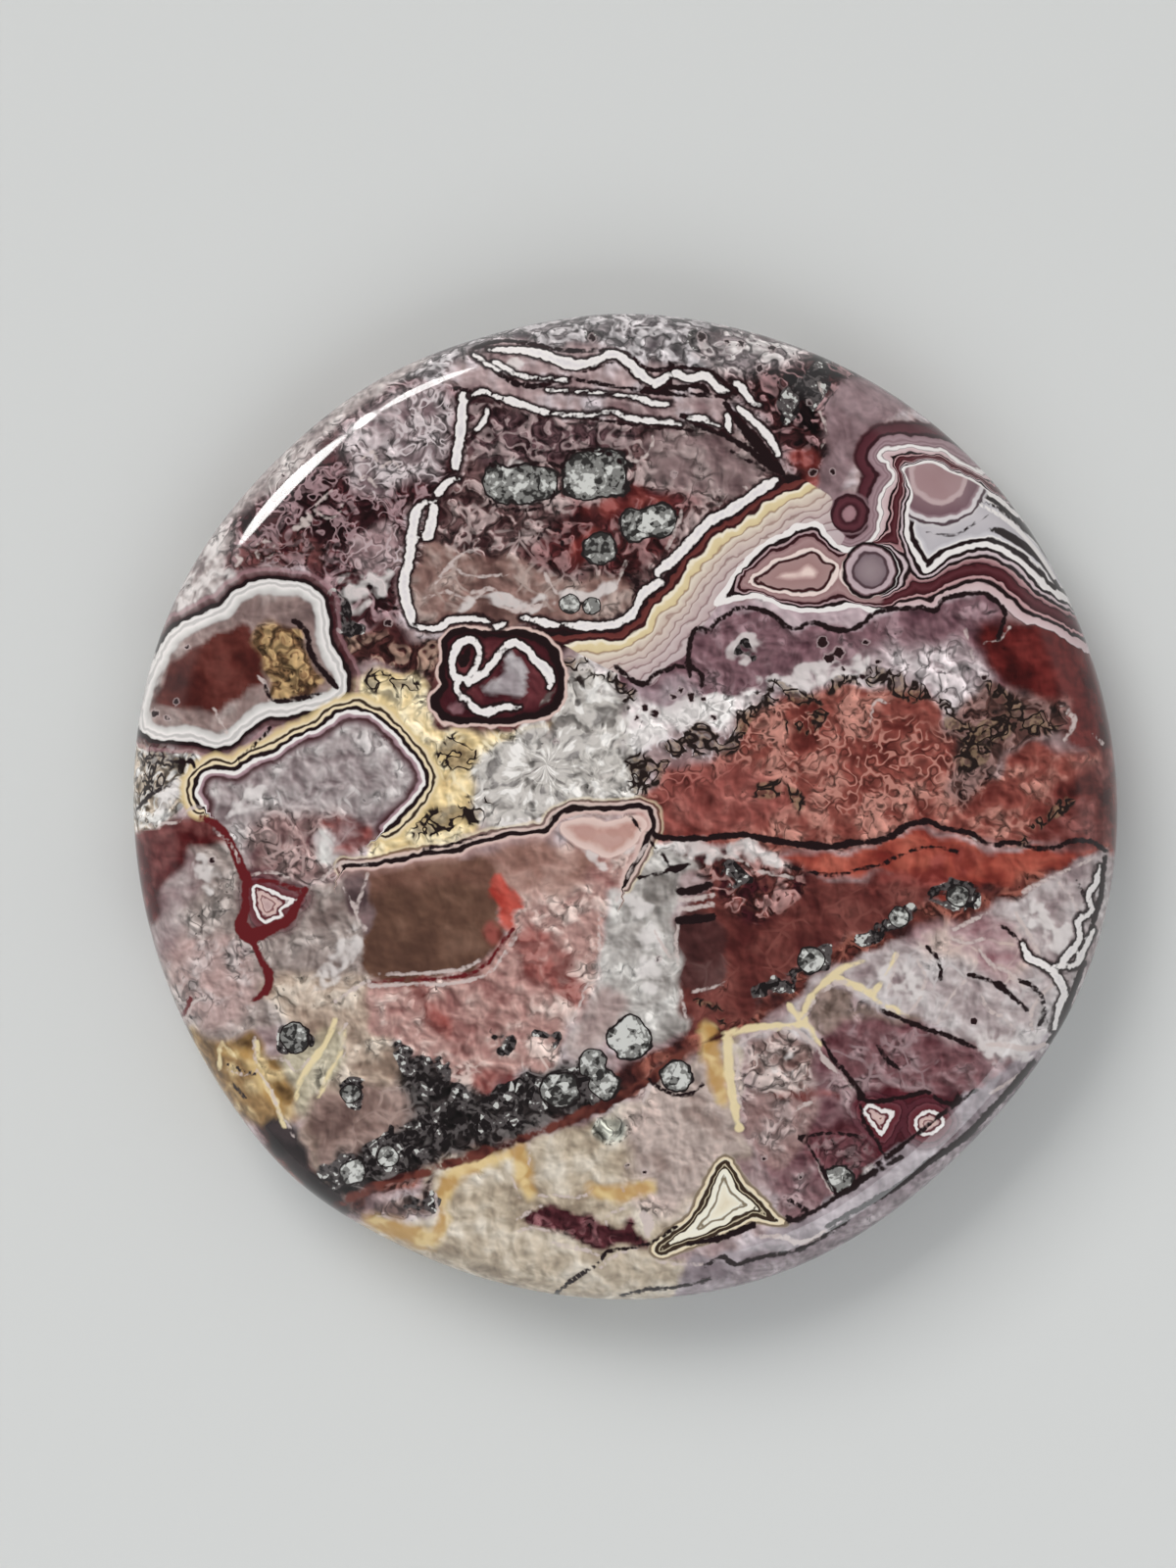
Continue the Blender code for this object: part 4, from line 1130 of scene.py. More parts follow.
# How a value rises from 0 to 1: (where it is 0, where it is 1).
LIVELY_RISE = (0.52, 0.64)
PIT_RISE = (0.66, 0.74)
GRAIN_BORDER_RISE = (0.07, 0.02)
BROKEN_GRAIN_RISE = (0.44, 0.56)
LOOP_RISE = (0.36, 0.46)
OLIVE_NET_RISE = (0.2, 0.6)
ORB_RIM_RISE = (1.14, 1.06)
ORB_RISE = (1.0, 0.92)
ORB_MIDDLE_RISE = (0.5, 1.0)
PORE_HALO_RISE = (2.4, 1.0)
PORE_RISE = (0.9, -0.6)
RED_LINE_RISE = (1.6, -0.8)
PALE_LINE_RISE = (1.8, -0.4)
DARK_LINE_RISE = (2.0, 0.2)
LACE_LINE_RISE = (1.4, -0.2)
LACE_EDGE_RISE = (1.0, -0.6)
LACE_SIDE_RISE = (-8.0, 4.0)
FRINGE_EDGE_RISE = (0.8, -0.7)
PINK_EYE_EDGE_RISE = (-1.0, -2.5)

# Tones by a noise's value: the first one, and then each one that comes in over it, as
# (where it starts, where it is full, the tone).
CRYSTAL_TONES = ((50, 48, 47), (0.52, 0.66, (128, 127, 124)), (0.76, 0.94, (206, 206, 202)))
BLACK_TONES = ((28, 23, 24), (0.66, 0.88, (84, 78, 78)), (0.97, 1.06, (196, 196, 192)))
DRUSE_TONES = ((98, 93, 90), (0.36, 0.48, (194, 188, 182)), (0.53, 0.62, (246, 242, 238)))
OCHRE_TONES = ((190, 148, 84), (0.42, 0.58, (226, 198, 140)))
RED_TONES = ((104, 36, 34), (0.4, 0.6, (160, 80, 74)))
OLIVE_TONES = ((70, 52, 42), (0.42, 0.6, (134, 112, 88)))
BROWN_TONES = ((58, 25, 24), (0.42, 0.58, (106, 56, 48)))

# Pigment patches: (field, how far noise lifts it, where it starts, where it is full, how
# much it covers).
WHITE_STAIN = ("white", 3.6, 0.5, 1.2, 0.7)
RED_STAIN = ("red", 3.6, 0.1, 1.4, 0.8)
DRUSE_STAIN = ("druse", 3.6, 0.4, 0.9, 0.72)
OLIVE_STAIN = ("olive", 3.0, 0.3, 0.9, 0.7)
BLACK_STAIN = ("black", 3.6, 0.5, 0.8, 1.0)
STAIN_DROP = -0.8
# Rough veins: (field, how far noise pushes the edge, its shift, where the vein starts,
# where it is full, how much it covers).
OCHRE_VEIN = ("ochre_lines", 14.0, -7.0, 6.0, -5.0, 0.85)
CREAM_VEIN = ("cream_lines", 10.0, -5.0, 2.0, -1.0, 0.9)
BROWN_VEIN = ("brown_lines", 16.0, -7.0, 2.5, -1.5, 1.0)

# The ground: how busy areas mix fine noise in, where its middle and light tones come in,
# and how softly by how busy it is. Pairs are (times, plus).
FINE_SHARE = (0.5, 0.1)
TONE_SOFTNESS = (-0.09, 0.125)
MIDDLE_TONE_AT = 0.43
LIGHT_TONE_AT = 0.565
CLUSTER_OF_NOISE = 0.6
CLUSTER_OF_BUSY = 0.5
SQUIGGLE_COVER = 0.8
SQUIGGLE_LIGHT = 0.12
SQUIGGLE_SHADE = -0.56
PIT_SHADE = -0.7
# How strongly the painted relief shade lightens and darkens the ground by how busy it is, and the
# darkest it makes it.
RELIEF_SHADE_BY_BUSY = (4.4, 0.8)
DARKEST_RELIEF_SHADE = 0.3
GRAIN_BY_BUSY = (0.3, 0.08)
# The grains' and the loops' width and cover.
GRAIN_SIZE = 26.0
GRAIN_COVER = 0.8
CURL_COVER = 0.85
CURL_SHADE = -0.55
# The crystal faces: their size, and how the cells and the noise make them brighter.
FACE_SIZE = 9.0
FACE_TINT = (0.6, -0.05)
FINE_TINT = (0.8, -0.4)
ORB_WAVE = (0.8, -0.4)
ORB_SHADE = (-0.12, 0.06)
PORE_WAVE = (6.0, -2.4)
PORE_HALO_COVER = 0.45
PALE_LINE_COVER = 0.85
# How much a band covers where its table doesn't say.
FULL_COVER = (1.0,)
# The radius at which the bands round the lace's eye start, and the least distance to the
# lace's edge, which keeps the share of the way to it finite.
LACE_EYE_RADIUS = 28.0
LEAST_EDGE_DISTANCE = 0.01

# The middle of the white crystals, in metres, and how their rays are cut along and round.
RAY_MIDDLE = (-0.0038, 0.0025, 0.0077)
RAY_STEPS = 900.0
RAYS_ROUND = 3.5
RAY_DETAIL = 2.0

# The polish, and the slight unevenness of the polished surface, in metres.
ROUGHNESS = 0.07
REFRACTION = 1.54
RELIEF_DEPTH = 0.00002
RELIEF_STRENGTH = 0.25

# The Mix node's sockets by place: the share, its two numbers and its two colours, and the
# number and the colour that come out.
MIX_SHARE = 0
MIX_NUMBERS = (2, 3)
MIX_COLOURS = (6, 7)
MIX_NUMBER_OUT = 0
MIX_COLOUR_OUT = 2

# The surface under the stone, in metres.
FLOOR_REACH = 3.0
FLOOR_COLOUR = (0.65, 0.66, 0.655)
FLOOR_ROUGHNESS = 0.8
# The room's even light, and how little of it comes from straight above. How high a
# direction is, 1 straight up, says where it starts to darken and where it is darkest.
ROOM_LIGHT = 0.56
ROOM_LIGHT_OVERHEAD = 0.1
OVERHEAD_FROM = 0.8
OVERHEAD_FULL = 0.93
WARM = (1.0, 0.99, 0.97)
COOL = (0.94, 0.98, 1.0)
# Flat lights aimed at the stone: name, shape, direction in degrees from +X, elevation,
# distance and size in millimetres, colour, power, and which surfaces they light.
LIGHTS = (
    ("key", "RECTANGLE", 127.0, 40.0, 2500.0, (1700.0, 1200.0), WARM, 38.0, "matt"),
    ("fill", "RECTANGLE", -80.0, 45.0, 500.0, (500.0, 300.0), COOL, 0.75, "matt"),
    ("window_left", "ELLIPSE", 136.2, 30.0, 900.0, (226.0, 380.0), WARM, 4.2, "gloss"),
    ("window_middle", "ELLIPSE", 124.5, 29.0, 900.0, (52.0, 280.0), WARM, 0.9, "gloss"),
    ("window_right", "ELLIPSE", 115.0, 30.0, 900.0, (190.0, 210.0), WARM, 1.6, "gloss"),
    ("wall", "RECTANGLE", -54.0, 29.0, 900.0, (480.0, 640.0), COOL, 2.6, "gloss"),
)


def dome_point(share):
    """(radius, height) on the dome, from its middle at 0 to its edge at 1."""
    out = DOME_REACH * share
    return out, DOME_CENTRE + math.sqrt(DOME_RADIUS * DOME_RADIUS - out * out)


def shoulder_point(radius, tilt):
    """(radius, height) on a shoulder, where its side is tilted this far from facing up."""
    out = GIRDLE_RADIUS - radius * (1 - math.sin(tilt))
    return out, GIRDLE_HEIGHT + radius * math.cos(tilt)


def top_shoulder_point(share):
    """On the top shoulder, from the dome's edge at 0 to the girdle at 1."""
    tilt = DOME_SLOPE + (math.pi / 2 - DOME_SLOPE) * share
    return shoulder_point(TOP_SHOULDER_RADIUS, tilt)


def back_shoulder_point(share):
    """On the back shoulder, from the girdle at 0 to the back's edge at 1."""
    tilt = math.pi / 2 + (math.pi / 2 - BACK_SLOPE) * share
    return shoulder_point(BACK_SHOULDER_RADIUS, tilt)


def back_point(share):
    """(radius, height) on the back, from its edge at 0 to the middle of its flat spot."""
    out = BACK_REACH * (1 - share)
    beyond = max(0.0, out - FLAT_SPOT_RADIUS)
    return out, BACK_RADIUS - math.sqrt(BACK_RADIUS * BACK_RADIUS - beyond * beyond)


def ring_plan():
    """The stone's rings from the top's middle to the back's: (radius, height, points)."""
    rings = [dome_point(0.0) + (1,)]
    for k in range(1, DOME_RINGS + 1):
        rings.append(dome_point(k / DOME_RINGS) + (RING_GROWTH * k,))
    for k in range(1, TOP_SHOULDER_RINGS + 1):
        rings.append(top_shoulder_point(k / TOP_SHOULDER_RINGS) + (SIDE_RING_POINTS,))
    for k in range(1, BACK_SHOULDER_RINGS + 1):
        rings.append(back_shoulder_point(k / BACK_SHOULDER_RINGS) + (SIDE_RING_POINTS,))
    for k in range(1, BACK_RINGS):
        rings.append(back_point(k / BACK_RINGS) + (RING_GROWTH * (BACK_RINGS - k),))
    rings.append(back_point(1.0) + (1,))
    return rings


def stitch(first, first_count, second, second_count):
    """Triangles between two rings, the first one above or inside the second."""
    faces = []
    a = 0
    b = 0
    while a < first_count or b < second_count:
        next_a = (a + 1) / first_count if first_count > 1 else 2.0
        next_b = (b + 1) / second_count if second_count > 1 else 2.0
        here = first + a % first_count
        there = second + b % second_count
        if next_b <= next_a:
            b += 1
            faces.append((here, there, second + b % second_count))
        else:
            a += 1
            faces.append((here, there, first + a % first_count))
        if first_count == 1 and b == second_count:
            break
        if second_count == 1 and a == first_count:
            break
    return faces


def girdle_growth(angles):
    """How far the girdle stands outside its circle in each direction."""
    growth = np.zeros_like(angles)
    for direction, height, half_width in LOBES:
        away = (np.degrees(angles) - direction + 180.0) % 360.0 - 180.0
        growth += height * np.exp(-((away / half_width) ** 2))
    return growth


def stone_points():
    """The stone's points in millimetres, and its triangles."""
    radii = []
    heights = []
    angles = []
    faces = []
    start = 0
    before = None
    for radius, height, count in ring_plan():
        radii.append(np.full(count, radius))
        heights.append(np.full(count, height))
        angles.append(np.arange(count) * 2 * math.pi / count)
        if before is not None:
            faces.extend(stitch(before[0], before[1], start, count))
        before = (start, count)
        start += count
    radii = np.concatenate(radii)
    heights = np.concatenate(heights)
    angles = np.concatenate(angles)
    grown = radii * (1 + girdle_growth(angles) / GIRDLE_RADIUS * radii / GIRDLE_RADIUS)
    x = grown * np.cos(angles)
    y = grown * np.sin(angles)
    x -= (x.min() + x.max()) / 2
    y -= (y.min() + y.max()) / 2
    return np.stack([x, y, heights], axis=1), faces


def camera_spot():
    """The camera's place over the stone, in millimetres."""
    x = (PICTURE_MIDDLE[0] - STONE_MIDDLE[0]) * MM_PER_UNIT
    y = (STONE_MIDDLE[1] - PICTURE_MIDDLE[1]) * MM_PER_UNIT
    return x, y, GIRDLE_HEIGHT + CAMERA_HEIGHT


def smooth(share):
    """A share of 0 to 1, eased at both ends."""
    return share * share * (3 - 2 * share)


def picture_spots(points):
    """Where the camera sees each point, in picture units.

    Points under the girdle aren't seen. They take the spot above them, turned and moved
    further the nearer they are to the middle of the back."""
    camera_x, camera_y, camera_z = camera_spot()
    height = points[:, 2]
    below = height < GIRDLE_HEIGHT - BELOW_GIRDLE
    grow = CAMERA_HEIGHT / (camera_z - np.where(below, GIRDLE_HEIGHT, height))
    x = PICTURE_MIDDLE[0] + (points[:, 0] - camera_x) * grow / MM_PER_UNIT
    y = PICTURE_MIDDLE[1] - (points[:, 1] - camera_y) * grow / MM_PER_UNIT
    inward = 1 - np.hypot(points[:, 0], points[:, 1]) / GIRDLE_RADIUS
    share = np.where(below, smooth(np.clip(inward / BACK_FADE, 0, 1)), 0)
    turn = share * BACK_TURN
    away_x = x - STONE_MIDDLE[0]
    away_y = y - STONE_MIDDLE[1]
    turned_x = away_x * np.cos(turn) - away_y * np.sin(turn) + share * BACK_SHIFT[0]
    turned_y = away_x * np.sin(turn) + away_y * np.cos(turn) + share * BACK_SHIFT[1]
    return np.stack([turned_x + STONE_MIDDLE[0], turned_y + STONE_MIDDLE[1]], axis=1)


def stray(along, across, waves):
    """How far the slow waves move each spot: a long, bent one and a short, slanting one."""
    long, bend, short, slant = waves
    moved = LONG_STRAY * np.sin(along / long + BEND * np.sin(across / bend))
    return moved + SHORT_STRAY * np.sin(along / short + across / slant)


def stirred(spots):
    """The spots moved a little in slow waves, so that soft edges aren't even."""
    x, y = spots[:, 0], spots[:, 1]
    return np.stack([x + stray(y, x, WAVES_ACROSS), y + stray(x, y, WAVES_DOWN)], axis=1)


def curve(points, closed):
    """A smooth line through the points. Their third value, if any, goes along."""
    points = np.array(points, float)
    count = len(points)
    pieces = []
    for i in range(count if closed else count - 1):
        if closed:
            a, b, c, d = (points[(i + k) % count] for k in (-1, 0, 1, 2))
        else:
            a, b, c, d = (points[min(max(i + k, 0), count - 1)] for k in (-1, 0, 1, 2))
        for step in range(CURVE_STEPS):
            t = step / CURVE_STEPS
            pieces.append(
                b
                + (c - a) * t / 2
                + (2 * a - 5 * b + 4 * c - d) * t * t / 2
                + (3 * b - a - 3 * c + d) * t * t * t / 2
            )
    pieces.append(points[0] if closed else points[-1])
    return np.array(pieces)


def line_distance(spots, line, reach):
    """How far each spot is outside the line's width, and never more than reach."""
    found = np.full(len(spots), reach)
    if line.shape[1] == 2:
        line = np.column_stack([line, np.zeros(len(line))])
    low = line[:, :2].min(axis=0) - reach
    high = line[:, :2].max(axis=0) + reach
    near = np.flatnonzero(((spots > low) & (spots < high)).all(axis=1))
    here = spots[near]
    best = np.full(len(near), reach)
    for start, end in zip(line[:-1], line[1:]):
        along = end[:2] - start[:2]
        span = max(along @ along, SHORTEST_PIECE)
        share = np.clip((here - start[:2]) @ along / span, 0, 1)
        away = np.hypot(*(here - start[:2] - share[:, None] * along).T)
        best = np.minimum(best, away - start[2] - share * (end[2] - start[2]))
    found[near] = best
    return found


def inside(spots, outline):
    """Which spots are inside the closed outline."""
    found = np.zeros(len(spots), bool)
    low = outline.min(axis=0)
    high = outline.max(axis=0)
    near = np.flatnonzero(((spots > low) & (spots < high)).all(axis=1))
    here = spots[near]
    crossed = np.zeros(len(near), bool)
    for start, end in zip(outline[:-1], outline[1:]):
        if start[1] == end[1]:
            continue
        spans = (start[1] > here[:, 1]) != (end[1] > here[:, 1])
        meet = start[0] + (here[:, 1] - start[1]) / (end[1] - start[1]) * (end[0] - start[0])
        crossed ^= spans & (here[:, 0] < meet)
    found[near] = crossed
    return found


def falling(value, low, high):
    """1 below low, 0 above high, and smooth between them."""
    return smooth(np.clip((high - value) / (high - low), 0, 1))


def outline_distance(spots, points, reach):
    """How far each spot is outside the closed outline, and less than 0 inside it."""
    outline = curve(points, closed=True)
    away = line_distance(spots, outline, reach)
    return np.where(inside(spots, outline), -away, away)


def side_distance(spots, line_points, outline_points, reach):
    """Two numbers a spot: how far it is from an open line, and how near it still is.

    The distance is less than 0 inside the outline. The nearness is 1 by the line and falls
    to 0 before the reach, where the distance would jump from one side to the other."""
    away = line_distance(spots, curve(line_points, closed=False), reach)
    sided = np.where(inside(spots, curve(outline_points, closed=True)), -away, away)
    return sided, falling(away, reach - SIDE_FADE_START, reach - SIDE_FADE_END)


def nearest(spots, lines, reach):
    """The distance to the nearest of the lines."""
    found = np.full(len(spots), reach)
    for points in lines:
        found = np.minimum(found, line_distance(spots, curve(points, closed=False), reach))
    return found


def nearest_outline(spots, outlines, reach):
    """The distance to the nearest of the closed outlines, less than 0 inside it."""
    found = np.full(len(spots), reach)
    for points in outlines:
        found = np.minimum(found, outline_distance(spots, points, reach))
    return found


def patch_amount(spots, patches):
    """How much of a pigment each spot has, from 0 to 1."""
    amount = np.zeros(len(spots))
    for softness, points in patches:
        away = line_distance(spots, curve(points, closed=False), REACH)
        amount = np.maximum(amount, falling(away, -softness / 2, softness))
    return amount


def linear(colour):
    """A colour of 0 to 255 as Blender's linear light."""
    shares = np.array(colour, float) / 255
    return np.where(shares > 0.04045, ((shares + 0.055) / 1.055) ** 2.4, shares / 12.92)


def ground(spots):
    """The ground's three tones, its share of light tone and how busy it is, by spot."""
    count = len(spots)
    tones = [np.tile(linear(colour), (count, 1)) for colour in OPEN_TONES]
    share = np.zeros(count)
    busy = np.full(count, OPEN_BUSY)
    for outline, softness, dark, middle, light, light_share, area_busy in AREAS:
        away = outline_distance(spots, outline, REACH)
        mask = falling(away, -softness, softness)
        for tone, colour in zip(tones, (dark, middle, light)):
            tone += (linear(colour) - tone) * mask[:, None]
        share += (light_share - share) * mask
        busy += (area_busy - busy) * mask
    return tones, share, busy


def circle_distance(spots, x, y):
    """How far each spot is from the middle of a circle."""
    return np.hypot(spots[:, 0] - x, spots[:, 1] - y)


def orb_fields(spots):
    """The distance from the nearest orb's middle, as a share of its radius, and its light."""
    found = np.full(len(spots), ORB_REACH)
    lights = np.zeros(len(spots))
    for x, y, radius, light in ORBS:
        away = circle_distance(spots, x, y) / radius
        lights = np.where(away < found, light, lights)
        found = np.minimum(found, away)
    return found, lights


def pore_distance(spots):
    """The distance outside the nearest pore."""
    found = np.full(len(spots), REACH)
    for x, y, radius in PORES:
        found = np.minimum(found, circle_distance(spots, x, y) - radius)
    return found


def pattern_fields(points):
    """Every number and colour that the stone's material reads, by name."""
    spots = picture_spots(points)
    loose = stirred(spots)
    tones, share, busy = ground(loose)
    colours = dict(zip(("dark_tone", "middle_tone", "light_tone"), tones))
    orbs, orb_light = orb_fields(spots)
    numbers = {
        "light_share": share,
        "busy": busy,
        "orbs": orbs,
        "orb_light": orb_light,
        "pores": pore_distance(spots),
        "eyes": nearest_outline(spots, SMALL_EYES, REACH),
        "fringe": line_distance(spots, curve(FRINGE_LINE, closed=False), FRINGE_REACH),
    }
    for name, patches in PATCH_FIELDS.items():
        numbers[name] = patch_amount(loose, patches)
    for name, lines in LINE_FIELDS.items():
        numbers[name] = nearest(spots, lines, REACH)
    for name, (outline, reach) in OUTLINE_FIELDS.items():
        numbers[name] = outline_distance(spots, outline, reach)
    for name, shape in SIDE_FIELDS.items():
        numbers[name], numbers["near_" + name] = side_distance(spots, *shape)
    for name, middle in CIRCLE_FIELDS.items():
        numbers[name] = circle_distance(spots, *middle)
    return numbers, colours


def store_fields(mesh, numbers, colours):
    for name, values in numbers.items():
        field = mesh.attributes.new(name, "FLOAT", "POINT")
        field.data.foreach_set("value", values.astype(np.float32))
    for name, values in colours.items():
        field = mesh.attributes.new(name, "FLOAT_COLOR", "POINT")
        rows = np.column_stack([values, np.ones(len(values))])
        field.data.foreach_set("color", rows.astype(np.float32).ravel())


def light_of(colour):
    """A colour of 0 to 255 as a socket's value. Another node's output stays as it is."""
    return (*linear(colour), 1.0) if isinstance(colour, tuple) else colour


class Paint:
    """Makes the material's nodes one at a time and joins them."""

    def __init__(self, material):
        material.use_nodes = True
        self.tree = material.node_tree
        self.shader = self.tree.nodes["Principled BSDF"]
        self.place = self.node("TexCoord").outputs["Object"]

    def join(self, value, socket):
        """Gives the socket a number, a colour, or another node's output."""
        if isinstance(value, bpy.types.NodeSocket):
            self.tree.links.new(value, socket)
        else:
            socket.default_value = value

    def node(self, kind, inputs=(), **settings):
        """A new node with these settings and these inputs, each by its name or place."""
        node = self.tree.nodes.new("ShaderNode" + kind)
        for name, value in settings.items():
            setattr(node, name, value)
        for key, value in dict(inputs).items():
            self.join(value, node.inputs[key])
        return node

    def field(self, name, output="Fac"):
        """A number stored at the stone's points."""
        return self.node("Attribute", attribute_name=name).outputs[output]

    def tone(self, name):
        """A colour stored at the stone's points."""
        return self.field(name, "Color")

    def math(self, kind, first, second):
        return self.node("Math", {0: first, 1: second}, operation=kind).outputs[0]

    def add(self, first, second):
        return self.math("ADD", first, second)

    def times(self, first, second):
        return self.math("MULTIPLY", first, second)

    def least(self, first, second):
        return self.math("MINIMUM", first, second)

    def most(self, first, second):
        return self.math("MAXIMUM", first, second)

    def scaled(self, value, times, plus):
        """The value times one number, plus another."""
        inputs = {0: value, 1: times, 2: plus}
        return self.node("Math", inputs, operation="MULTIPLY_ADD").outputs[0]

    def spread(self, value, low, high, kind="LINEAR"):
        """A node for how far the value is on its way from low to high, as 0 to 1."""
        inputs = {"Value": value, "From Min": low, "From Max": high}
        return self.node("MapRange", inputs, interpolation_type=kind)

    def rise(self, value, low, high):
        """0 at low, 1 at high, and smooth between them. High may be the smaller one."""
        node = self.spread(value, min(low, high), max(low, high), "SMOOTHSTEP")
        if high < low:
            node.inputs["To Min"].default_value = 1.0
            node.inputs["To Max"].default_value = 0.0
        return node.outputs["Result"]

    def soft_rise(self, value, middle, reach):
        """0 well below the middle and 1 well above it. The reach is an output."""
        low = self.scaled(reach, -1.0, middle)
        high = self.scaled(reach, 1.0, middle)
        return self.spread(value, low, high, "SMOOTHSTEP").outputs["Result"]

    def near(self, value, level, outer, inner):
        """1 where the value is within inner of the level, and 0 from outer on."""
        away = self.math("ABSOLUTE", self.add(value, -level), 0.0)
        return self.rise(away, outer, inner)

    def noise(self, size, detail, place=None):
        """Cloudy noise whose largest lumps are about size picture units wide."""
        inputs = {
            "Vector": place or self.place,
            "Scale": 1 / (size * METRES_PER_UNIT),
            "Detail": detail,
            "Roughness": NOISE_ROUGHNESS,
        }
        return self.node("TexNoise", inputs).outputs["Fac"]

    def stirred_place(self):
        """The place moved by noise, so that the pattern's lumps and lines bend."""
        scale = 1 / (STIR_SIZE * METRES_PER_UNIT)
        inputs = {"Vector": self.place, "Scale": scale, "Detail": STIR_DETAIL}
        noise = self.node("TexNoise", inputs)
        reach = STIR_REACH * NOISE_SPAN * METRES_PER_UNIT
        inputs = {0: noise.outputs["Color"], 1: (reach, reach, reach), 2: self.place}
        return self.node("VectorMath", inputs, operation="MULTIPLY_ADD").outputs[0]

    def moved_place(self, place, step):
        """The place moved by the step, in picture units."""
        move = (step[0] * METRES_PER_UNIT, step[1] * METRES_PER_UNIT, 0.0)
        return self.node("VectorMath", {0: place, 1: move}).outputs[0]

    def cells(self, size, feature, place):
        """Random cells about size picture units wide."""
        inputs = {"Vector": place, "Scale": 1 / (size * METRES_PER_UNIT)}
        return self.node("TexVoronoi", inputs, feature=feature)

    def bands(self, distance, stops):
        """The band colours by distance, and how much they cover."""
        low = stops[0][0]
        high = stops[-1][0]
        spread = self.spread(distance, low, high)
        ramp = self.node("ValToRGB", {"Fac": spread.outputs["Result"]})
        elements = ramp.color_ramp.elements
        ready = len(elements)
        for i, (at, colour, *cover) in enumerate(stops):
            position = (at - low) / (high - low)
            element = elements[i] if i < ready else elements.new(position)
            element.position = position
            element.color = (*linear(colour), *(cover or FULL_COVER))
        return ramp.outputs["Color"], ramp.outputs["Alpha"]

    def over(self, below, above, share):
        """One colour painted over another."""
        first, second = MIX_COLOURS
        inputs = {MIX_SHARE: share, first: light_of(below), second: light_of(above)}
        return self.node("Mix", inputs, data_type="RGBA").outputs[MIX_COLOUR_OUT]

    def between(self, below, above, share):
        """A number between two numbers."""
        first, second = MIX_NUMBERS
        inputs = {MIX_SHARE: share, first: below, second: above}
        return self.node("Mix", inputs).outputs[MIX_NUMBER_OUT]

    def toned(self, value, tones):
        """The first tone, and over it each next one as the value rises."""
        colour = tones[0]
        for low, high, above in tones[1:]:
            colour = self.over(colour, above, self.rise(value, low, high))
        return colour

    def brighter(self, colour, amount):
        """The colour times the amount, which is a number or an output."""
        inputs = {0: colour, "Scale": amount}
        return self.node("VectorMath", inputs, operation="SCALE").outputs[0]

    def lit(self, colour, share, amount):
        """The colour, brighter by the amount where the share is 1."""
        return self.brighter(colour, self.scaled(share, amount, 1.0))


def ground_colour(paint, noises, painted_relief_shade):
    """The mottled ground: three tones by noise, painted relief shade that makes its lumps look
    raised, squiggles and pits.

    A calm area blends its tones slowly, and a busy one has crisp lumps and squiggles."""
    fine, coarse, specks, strokes = noises
    busy = paint.field("busy")
    level = paint.between(coarse, fine, paint.scaled(busy, *FINE_SHARE))
    level = paint.add(level, paint.field("light_share"))
    reach = paint.scaled(busy, *TONE_SOFTNESS)
    share = paint.soft_rise(level, MIDDLE_TONE_AT, reach)
    colour = paint.over(paint.tone("dark_tone"), paint.tone("middle_tone"), share)
    share = paint.soft_rise(level, LIGHT_TONE_AT, reach)
    colour = paint.over(colour, paint.tone("light_tone"), share)

    clusters = paint.add(
        paint.times(coarse, CLUSTER_OF_NOISE), paint.times(busy, CLUSTER_OF_BUSY)
    )
    lively = paint.rise(clusters, *LIVELY_RISE)
    for noise in (fine, strokes):
        light = paint.times(paint.near(noise, *LIGHT_SQUIGGLES), lively)
        dark = paint.times(paint.near(noise, *DARK_SQUIGGLES), lively)
        cover = paint.times(light, SQUIGGLE_COVER)
        colour = paint.over(colour, paint.tone("light_tone"), cover)
        colour = paint.lit(colour, light, SQUIGGLE_LIGHT)
        colour = paint.lit(colour, dark, SQUIGGLE_SHADE)
    pits = paint.times(paint.rise(specks, *PIT_RISE), lively)
    colour = paint.lit(colour, pits, PIT_SHADE)
    # Painted relief shade: each lump of the ground is made lighter on one side and darker on the
    # other, as if lit from one side.
    shade = paint.times(painted_relief_shade, paint.scaled(busy, *RELIEF_SHADE_BY_BUSY))
    colour = paint.brighter(colour, paint.most(paint.add(shade, 1.0), DARKEST_RELIEF_SHADE))
    grain = paint.times(
        paint.add(specks, -NOISE_MIDDLE), paint.scaled(busy, *GRAIN_BY_BUSY)
    )
    return paint.lit(colour, grain, 1.0)


def grains_and_loops(paint, colour, noises, loose, curls):
    """Small grains with pale borders, and pale and dark curls, where the fields say so."""
    fine, coarse, _, _ = noises
    grains = paint.cells(GRAIN_SIZE, "DISTANCE_TO_EDGE", loose)
    border = paint.rise(grains.outputs["Distance"], *GRAIN_BORDER_RISE)
    broken = paint.times(paint.field("grains"), paint.rise(coarse, *BROKEN_GRAIN_RISE))
    border = paint.times(paint.times(border, broken), GRAIN_COVER)
    colour = paint.over(colour, paint.tone("light_tone"), border)
    loops = paint.times(paint.field("loops"), paint.rise(fine, *LOOP_RISE))
    pale = paint.times(paint.near(curls, *PALE_CURLS), paint.times(loops, CURL_COVER))
    colour = paint.over(colour, paint.tone("light_tone"), pale)
    colour = paint.lit(colour, pale, SQUIGGLE_LIGHT)
    dark = paint.times(paint.near(curls, *DARK_CURLS), loops)
    return paint.lit(colour, dark, CURL_SHADE)


def crystal_tint(paint, noises, loose):
    """How bright the small crystal faces are, about 0.75 at middling."""
    fine, _, specks, _ = noises
    faces = paint.cells(FACE_SIZE, "F1", loose)
    tint = paint.add(paint.scaled(faces.outputs["Color"], *FACE_TINT), specks)
    return paint.add(tint, paint.scaled(fine, *FINE_TINT))


